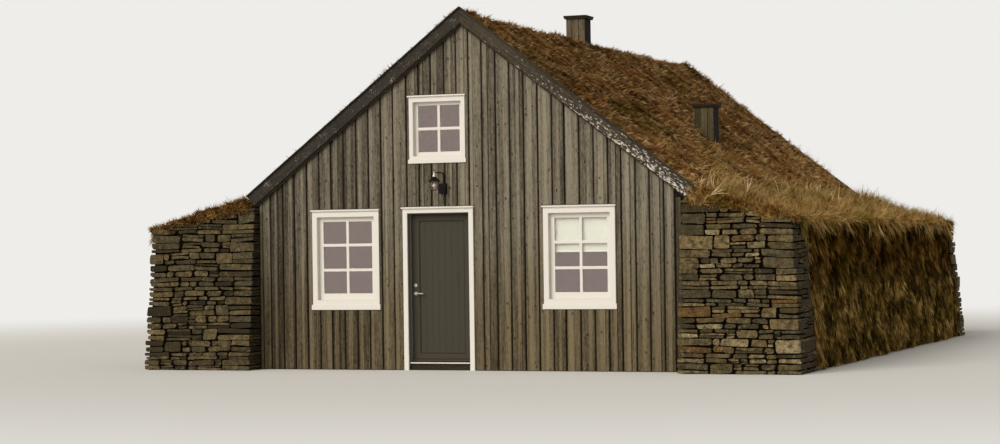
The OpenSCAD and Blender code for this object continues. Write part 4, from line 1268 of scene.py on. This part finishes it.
def shrunk_core(node, name, top_inset):
    """A near-black body behind the stones: painted shade in the joints, which show it."""
    inset = (0.055, 0.05)
    bm = merged_copy(node)
    low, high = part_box(node)
    middle = (low + high) / 2
    for vert in bm.verts:
        for axis in (0, 1):
            vert.co[axis] -= math.copysign(inset[axis], vert.co[axis] - middle[axis])
        if vert.co.z > 0.1:
            vert.co.z -= top_inset
    finish_mesh(bm, name, stone_core, replaces=[node])


def back_height(x, y):
    """Height of the back wall's top, which falls from the house to its outer edge."""
    over = min(1, max(0, (y - BACK_Y) / (BACK_FOOT - BACK_Y - 0.2)))
    start = wall_height(x) if abs(x) > HALF_W + 0.1 else BACK_TOP
    return start - (start - WALL_TOP + WALL_FALL) * over


def back_stones():
    laid = Courses(31)
    rng = laid.rng
    for levels in laid.pairs(WALL_TOP - 0.1, 1.4):
        z = (levels[0] + levels[2]) / 2
        back = BACK_FOOT - END_LEAN * z
        ends = []
        for side, lean in ((-1, LEFT_LEAN), (1, RIGHT_LEAN)):
            outer = OUTER_X - lean * z
            width = rng.uniform(0.22, 0.5)
            depth = 0.68 - width
            ends.append(side * (outer - width))
            for z0, z1 in laid.split(levels):
                x0, x1 = sorted((side * (outer - width), side * (outer - rng.uniform(0, 0.014))))
                laid.put(x0, x1, back - depth, back - rng.uniform(0, 0.014), z0, z1)
            laid.fill(CORNER_Y, back - depth, levels, lambda a, b, z0, z1: laid.put(
                *sorted((side * (outer - STONE_DEPTH), side * (outer - rng.uniform(0, 0.02)))),
                a, b, z0, z1))
        laid.fill(*ends, levels, lambda a, b, z0, z1: laid.put(
            a, b, back - STONE_DEPTH, back - rng.uniform(0, 0.02), z0, z1))
    finish_mesh(laid.mesh(back_height), "back_stones", dry_stone)


def lay_walls():
    stone_end("left_stones", -1, LEFT_LEAN, 12, (0.0, 0.72))
    stone_end("right_stones", 1, RIGHT_LEAN, 21, (0.1, 1.0))
    back_stones()
    shrunk_core("left_stone_end", "left_stone_core", 0.02)
    shrunk_core("right_stone_end", "right_stone_core", 0.02)
    shrunk_core("back_stone_wall", "back_stone_core", 0.03)


lay_walls()


# Turf: a rough skin on each body of turf, and blades of grass on the skin


def blade(name, steps, bend, width, spread, count, seed):
    """A tuft of blades one unit long, with the attribute tip from the root to the end."""
    rng = random.Random(seed)
    bm = bmesh.new()
    tip = bm.verts.layers.float.new("tip")
    for _ in range(count):
        way = rng.uniform(0, math.tau)
        lean = rng.uniform(0.2, 1) * spread
        length = rng.uniform(0.6, 1)
        turn = Matrix.Rotation(way, 3, "Z")
        across = Matrix.Rotation(rng.uniform(0, math.tau), 3, "Z") @ Vector((width / 2, 0, 0))
        last = None
        for i in range(steps + 1):
            t = i / steps
            middle = turn @ Vector((lean * t + bend * t * t, 0, t * (1 - 0.35 * bend * t))) * length
            if i < steps:
                row = [bm.verts.new(middle - across * (1 - 0.75 * t)),
                       bm.verts.new(middle + across * (1 - 0.75 * t))]
            else:
                row = [bm.verts.new(middle)]
            for vert in row:
                vert[tip] = t
            if last:
                bm.faces.new(last + list(reversed(row)))
            last = row
    return mesh_object(bm, name)


def grass_cover():
    """Sets tufts on a surface by its attributes cover, length and lie, the way the blades point."""
    tree = bpy.data.node_groups.new("grass_cover", "GeometryNodeTree")
    for label, kind in (("Geometry", "Geometry"), ("Tufts", "Collection"), ("Density", "Float"),
                        ("Seed", "Int"), ("Spread", "Float"), ("Width", "Float")):
        tree.interface.new_socket(label, in_out="INPUT", socket_type="NodeSocket" + kind)
    tree.interface.new_socket("Geometry", in_out="OUTPUT", socket_type="NodeSocketGeometry")
    given = tree.nodes.new("NodeGroupInput").outputs
    out = tree.nodes.new("NodeGroupOutput").inputs

    def named(label, kind="FLOAT"):
        return add(tree, "GeometryNodeInputNamedAttribute", {"data_type": kind},
                   Name=label).outputs["Attribute"]

    def chance(low, high, seed):
        made = add(tree, "FunctionNodeRandomValue", {"data_type": "FLOAT"}, Seed=seed)
        made.inputs[2].default_value = low
        made.inputs[3].default_value = high
        return made.outputs[1]

    points = add(tree, "GeometryNodeDistributePointsOnFaces", {"distribute_method": "RANDOM"},
                 Mesh=given["Geometry"], Seed=given["Seed"],
                 Density=times(tree, named("cover"), given["Density"]))
    any_way = add(tree, "FunctionNodeRandomValue", {"data_type": "FLOAT_VECTOR"}, Seed=5)
    any_way.inputs[0].default_value = (-1, -1, -1)
    any_way.inputs[1].default_value = (1, 1, 1)
    loose = add(tree, "ShaderNodeVectorMath", {"operation": "SCALE"}, Scale=given["Spread"])
    tree.links.new(any_way.outputs[0], loose.inputs[0])
    lean = vector_calc(tree, "ADD", named("lie", "FLOAT_VECTOR"), loose.outputs[0])
    aim = add(tree, "FunctionNodeAlignRotationToVector", {"axis": "Z"}, Vector=lean)
    about = add(tree, "FunctionNodeAxisAngleToRotation", Axis=(0, 0, 1),
                Angle=chance(0, math.tau, 8))
    turned = add(tree, "FunctionNodeRotateRotation", {"rotation_space": "LOCAL"})
    tree.links.new(aim.outputs[0], turned.inputs[0])
    tree.links.new(about.outputs[0], turned.inputs[1])
    height = times(tree, named("length"), chance(0.6, 1.3, 3))
    wide = times(tree, height, given["Width"])
    size = add(tree, "ShaderNodeCombineXYZ", X=wide, Y=wide, Z=height)
    tufts = add(tree, "GeometryNodeCollectionInfo", Collection=given["Tufts"])
    tufts.inputs["Separate Children"].default_value = True
    tufts.inputs["Reset Children"].default_value = True
    placed = add(tree, "GeometryNodeInstanceOnPoints", Points=points.outputs["Points"],
                 Instance=tufts.outputs[0], Rotation=turned.outputs[0], Scale=size.outputs[0])
    placed.inputs["Pick Instance"].default_value = True
    toned = add(tree, "GeometryNodeStoreNamedAttribute",
                {"data_type": "FLOAT", "domain": "INSTANCE"},
                Geometry=placed.outputs[0], Name="tone", Value=chance(0, 1, 13))
    real = add(tree, "GeometryNodeRealizeInstances", Geometry=toned.outputs[0])
    tree.links.new(real.outputs[0], out[0])
    return tree


def tufts_of(name, steps, bend, width, spread, count, seed):
    made = bpy.data.collections.new(name)
    for i in range(5):
        made.objects.link(blade("%s_%d" % (name, i), steps, bend, width, spread, count, seed + i))
    return made


short_tufts = tufts_of("short_tufts", 2, 0.3, 0.13, 0.55, 5, 100)
long_tufts = tufts_of("long_tufts", 3, 0.5, 0.045, 0.4, 4, 200)
hanging_tufts = tufts_of("hanging_tufts", 2, 0.05, 0.08, 0.16, 4, 300)
cover_tree = grass_cover()


def store(mesh, label, column, kind="FLOAT"):
    made = mesh.attributes.get(label) or mesh.attributes.new(label, kind, "POINT")
    made.data.foreach_set("vector" if kind == "FLOAT_VECTOR" else "value", column)


def skin(node, name, voxel, rough, stretch, material, settle=None):
    """A closed skin over a body of turf, with lumps rough high and as long as stretch makes them.

    settle gives a further move for a point and its normal.
    """
    source = mesh_object(merged_copy(node), name)
    collection.objects.link(source)
    cells = source.modifiers.new("cells", "REMESH")
    cells.mode = "VOXEL"
    cells.voxel_size = voxel
    made = evaluated(source, name)
    bm = bmesh.new()
    bm.from_mesh(made.data)
    bm.normal_update()
    moves = []
    for vert in bm.verts:
        at = Vector(vert.co[i] * stretch[i] for i in range(3))
        lump = noise.noise(at) * 0.75 + noise.noise(at * 2.7) * 0.45
        moves.append(vert.normal * rough * (lump - 0.3))
        if settle:
            moves[-1] += settle(vert.co, vert.normal)
    for vert, move in zip(bm.verts, moves):
        vert.co += move
        vert.co.z = max(vert.co.z, 0.0)
    bm.to_mesh(made.data)
    bm.free()
    store(made.data, "tone", [0.1 + 0.4 * patchy(v.co, 6) for v in made.data.vertices])
    store(made.data, "tip", [0.15] * len(made.data.vertices))
    return finish_piece(made, material, replaces=[node], smooth=True)


SIDE_REACH = 0.22
FRONT_REACH = 0.1


def grow(base, name, tufts, density, spread, width, seed, material, rule):
    """Grass on a skin. rule gives cover, length and lie for a point of it and its normal.

    Blades that reach too far past the walls or below the ground are pressed back.
    """
    source = bpy.data.objects.new(name, base.data.copy())
    collection.objects.link(source)
    mesh = source.data
    cover, length, lie = zip(*(rule(vert.co, vert.normal) for vert in mesh.vertices))
    store(mesh, "cover", cover)
    store(mesh, "length", length)
    store(mesh, "lie", [value for way in lie for value in way], "FLOAT_VECTOR")
    for label in ("tip", "tone"):
        mesh.attributes.remove(mesh.attributes[label])
    grown = source.modifiers.new("grass", "NODES")
    grown.node_group = cover_tree
    names = {item.name: item.identifier for item in cover_tree.interface.items_tree
             if item.in_out == "INPUT"}
    for label, value in (("Tufts", tufts), ("Density", density), ("Seed", seed),
                         ("Spread", spread), ("Width", width)):
        grown[names[label]] = value
    made = evaluated(source, name)
    places = [0.0] * (3 * len(made.data.vertices))
    made.data.vertices.foreach_get("co", places)
    reach = OUTER_X + SIDE_REACH
    places[0::3] = [min(reach, max(-reach, x)) for x in places[0::3]]
    places[1::3] = [max(FRONT_FOOT - FRONT_REACH, y) for y in places[1::3]]
    places[2::3] = [max(0.004, z) for z in places[2::3]]
    made.data.vertices.foreach_set("co", places)
    finish_piece(made, material)


def patchy(point, scale, low=-0.25, high=0.25):
    """0 to 1 in soft patches that get smaller with the scale."""
    return min(1, max(0, (noise.noise(point * scale) - low) / (high - low)))


def near(distance, reach):
    """1 at a line, falling to 0 at the reach from it."""
    return min(1, max(0, 1 - abs(distance) / reach))


BARE = (0.0, 0.1, Vector((0, 0, 1)))
LIP_Y = FRONT_FOOT + END_LEAN * WALL_TOP


def slope_ways(side):
    """Down one slope of the roof, and straight out of it."""
    return (Vector((side * math.cos(ROOF_PITCH), 0, -math.sin(ROOF_PITCH))),
            Vector((side * math.sin(ROOF_PITCH), 0, math.cos(ROOF_PITCH))))


def swell_edges(point, normal):
    """Turf stands up over the bargeboards near the peak and along the ridge."""
    peak = near(point.x, EAVE_X)
    front = 0.06 * peak * near(point.y - ROOF_LOW.y, 0.5) ** 0.5
    back = 0.11 * peak * near(point.y - ROOF_HIGH.y, 0.6) ** 0.5
    rise = max(front, back, 0.03 * near(point.x, 0.3)) if normal.z > 0.1 else 0
    return Vector((0, 0, rise))


def draw_in(point, normal):
    """The front of the turf on a wall end lies over the stones, not before them."""
    front = FRONT_FOOT + END_LEAN * point.z + 0.015
    return Vector((0, max(0, front - point.y), 0))


def roof_rule(point, normal):
    side = math.copysign(1, point.x)
    if normal.z < -0.2 or normal.x * side < -0.5:
        return BARE
    down, out = slope_ways(side)
    return (0.65 + 0.35 * patchy(point, 2.5), 0.065 + 0.045 * patchy(point, 1.9),
            down + out * 0.45)


def verge_rule(point, normal):
    cover, _, lie = roof_rule(point, normal)
    front, back = near(point.y - ROOF_LOW.y, 0.16), near(point.y - ROOF_HIGH.y, 0.2)
    edge = max(front, back, 0.5 * near(point.x, 0.2)) * near(point.x, 0.8 * EAVE_X)
    out = slope_ways(math.copysign(1, point.x))[1]
    lie = out + lie * 0.3 + Vector((0, 0.5 * back - 0.3 * front, 0))
    return (edge if cover else 0.0), 0.075, lie


def eave_rule(point, normal):
    cover = roof_rule(point, normal)[0]
    low = near(abs(point.x) - EAVE_X, 1.4) * patchy(point, 1.3, -0.1, 0.3)
    if point.x < 0:
        low *= 1 - near(point.y - ROOF_LOW.y, 1.0)
    down, out = slope_ways(math.copysign(1, point.x))
    return (low if cover else 0.0), 0.14 + 0.12 * low, out * 0.8 + down * 0.5


def side_rule(point, normal):
    side = math.copysign(1, point.x)
    if normal.z > 0.5:
        lie = Vector((side * 0.5, 0, -0.6))
        return (1.0 if point.z < LEDGE_Z + 0.2 else 0.0), 0.14, lie
    if normal.x * side < 0.5 or point.z < 0.02:
        return BARE
    columns = patchy(Vector((0, point.y * 3.1, point.z * 1.6)), 1)
    sway = 0.35 * noise.noise(point * 2.3) + 0.5 * noise.noise(point * 6)
    return 0.35 + 0.65 * columns, 0.11 + 0.12 * patchy(point, 3), Vector((side * 0.11, sway, -1))


def hem_rule(point, normal):
    """Grass of the wall top that hangs down over the side in uneven clumps."""
    side = math.copysign(1, point.x)
    if normal.x * side < -0.3:
        return BARE
    clump = patchy(Vector((0, point.y * 2.1, 3)), 1, -0.2, 0.35)
    return (near(abs(point.x) - OUTER_X, 0.2), 0.12 + 0.24 * clump,
            Vector((side * (0.5 - 0.2 * clump), 0.2 * noise.noise(point * 4), -1)))


def corner_rule(point, normal):
    cover, length, lie = side_rule(point, normal)
    return (cover if point.y < PIER_Y + 0.1 + 0.3 * patchy(point, 3) else 0.0), length + 0.05, lie


def top_rule(point, normal):
    side = math.copysign(1, point.x)
    indoors = abs(point.x) < HALF_W + 0.1 and FACE_Y < point.y < BACK_Y
    if normal.z < -0.3 or normal.x * side < -0.6 or indoors:
        return BARE
    outer = near(abs(point.x) - OUTER_X, 0.5)
    front = near(point.y - LIP_Y, 0.4)
    fall = max(outer, front)
    lie = Vector((side * (0.2 + 0.45 * outer), 0.2 - 0.7 * front, 0.9 - 1.4 * fall))
    length = 0.1 + 0.1 * patchy(point, 2.2) + 0.09 * near(abs(point.x) - EAVE_X, 0.8)
    return 0.5 + 0.5 * max(fall, patchy(point, 2)), length * (1 - 0.45 * front), lie


def left_rule(point, normal):
    cover, length, lie = top_rule(point, normal)
    return cover, min(length, 0.13), lie


def back_rule(point, normal):
    if normal.z < -0.3 or normal.y < -0.6:
        return BARE
    out = near(point.y - (BACK_FOOT - END_LEAN * WALL_TOP), 0.5)
    lie = Vector((0, 0.3 + 0.5 * out, 0.9 - 1.3 * out))
    return 0.5 + 0.5 * patchy(point, 2), 0.13 + 0.1 * patchy(point, 2.2), lie


def lip_rule(point, normal):
    cover, _, lie = top_rule(point, normal)
    front = near(point.y - LIP_Y, 0.3)
    return (front if cover else 0.0), 0.09, lie + Vector((0, -0.3, 0.3))


def wisp_rule(point, normal):
    cover, _, lie = top_rule(point, normal)
    inner = near(abs(point.x) - EAVE_X, 0.7)
    return cover * inner * patchy(point, 1.4, -0.1, 0.2), 0.36, lie + Vector((0, 0, 0.3))


def cover_with_turf():
    top_lumps = (3.5, 3.5, 3.5)
    for side, seed in (("left", 40), ("right", 50)):
        right = side == "right"
        top_turf = blond_turf if right else rust_turf
        roof = skin(side + "_roof_turf", side + "_roof_skin", 0.09, 0.05, (2.2, 2.8, 2.2),
                    roof_turf, swell_edges)
        for label, tufts, density, spread, width, more, material, rule in (
                ("roof_grass", short_tufts, 180, 0.4, 1.0, 0, roof_turf, roof_rule),
                ("verge_grass", short_tufts, 1000, 0.3, 0.8, 7, rust_turf, verge_rule),
                ("eave_grass", long_tufts, 130, 0.4, 1.0, 6, top_turf, eave_rule)):
            grow(roof, side + "_" + label, tufts, density, spread, width,
                 seed + more, material, rule)
        wall = skin(side + "_turf_wall", side + "_wall_skin", 0.08, 0.05, (3, 3.4, 0.9),
                    side_turf)
        grow(wall, side + "_wall_grass", hanging_tufts, 420, 0.2, 1.2, seed + 1,
             side_turf, side_rule)
        grow(wall, side + "_corner_grass", hanging_tufts, 500, 0.16, 1.0, seed + 2,
             blond_turf, corner_rule)
        top = skin(side + "_wall_top_turf", side + "_top_skin", 0.065, 0.05, top_lumps, top_turf,
                   draw_in)
        for label, tufts, density, spread, width, more, material, rule in (
                ("top_grass", long_tufts, 300 if right else 210, 0.45, 1.0, 3, top_turf,
                 top_rule if right else left_rule),
                ("top_wisps", long_tufts, 45 if right else 8, 0.5, 0.7, 4, straw, wisp_rule),
                ("lip_grass", short_tufts, 1500, 0.45, 0.8, 5, shaded_lip_turf, lip_rule),
                ("hem_grass", hanging_tufts, 620, 0.35, 0.8, 8, top_turf, hem_rule)):
            grow(top, side + "_" + label, tufts, density, spread, width, seed + more,
                 material, rule)
    back = skin("back_wall_top_turf", "back_top_skin", 0.065, 0.04, top_lumps, blond_turf)
    grow(back, "back_top_grass", long_tufts, 260, 0.45, 1.0, 63, blond_turf,
         back_rule)


cover_with_turf()


[[list(corner) for corner in pair] for pair in (cad_box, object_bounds())]
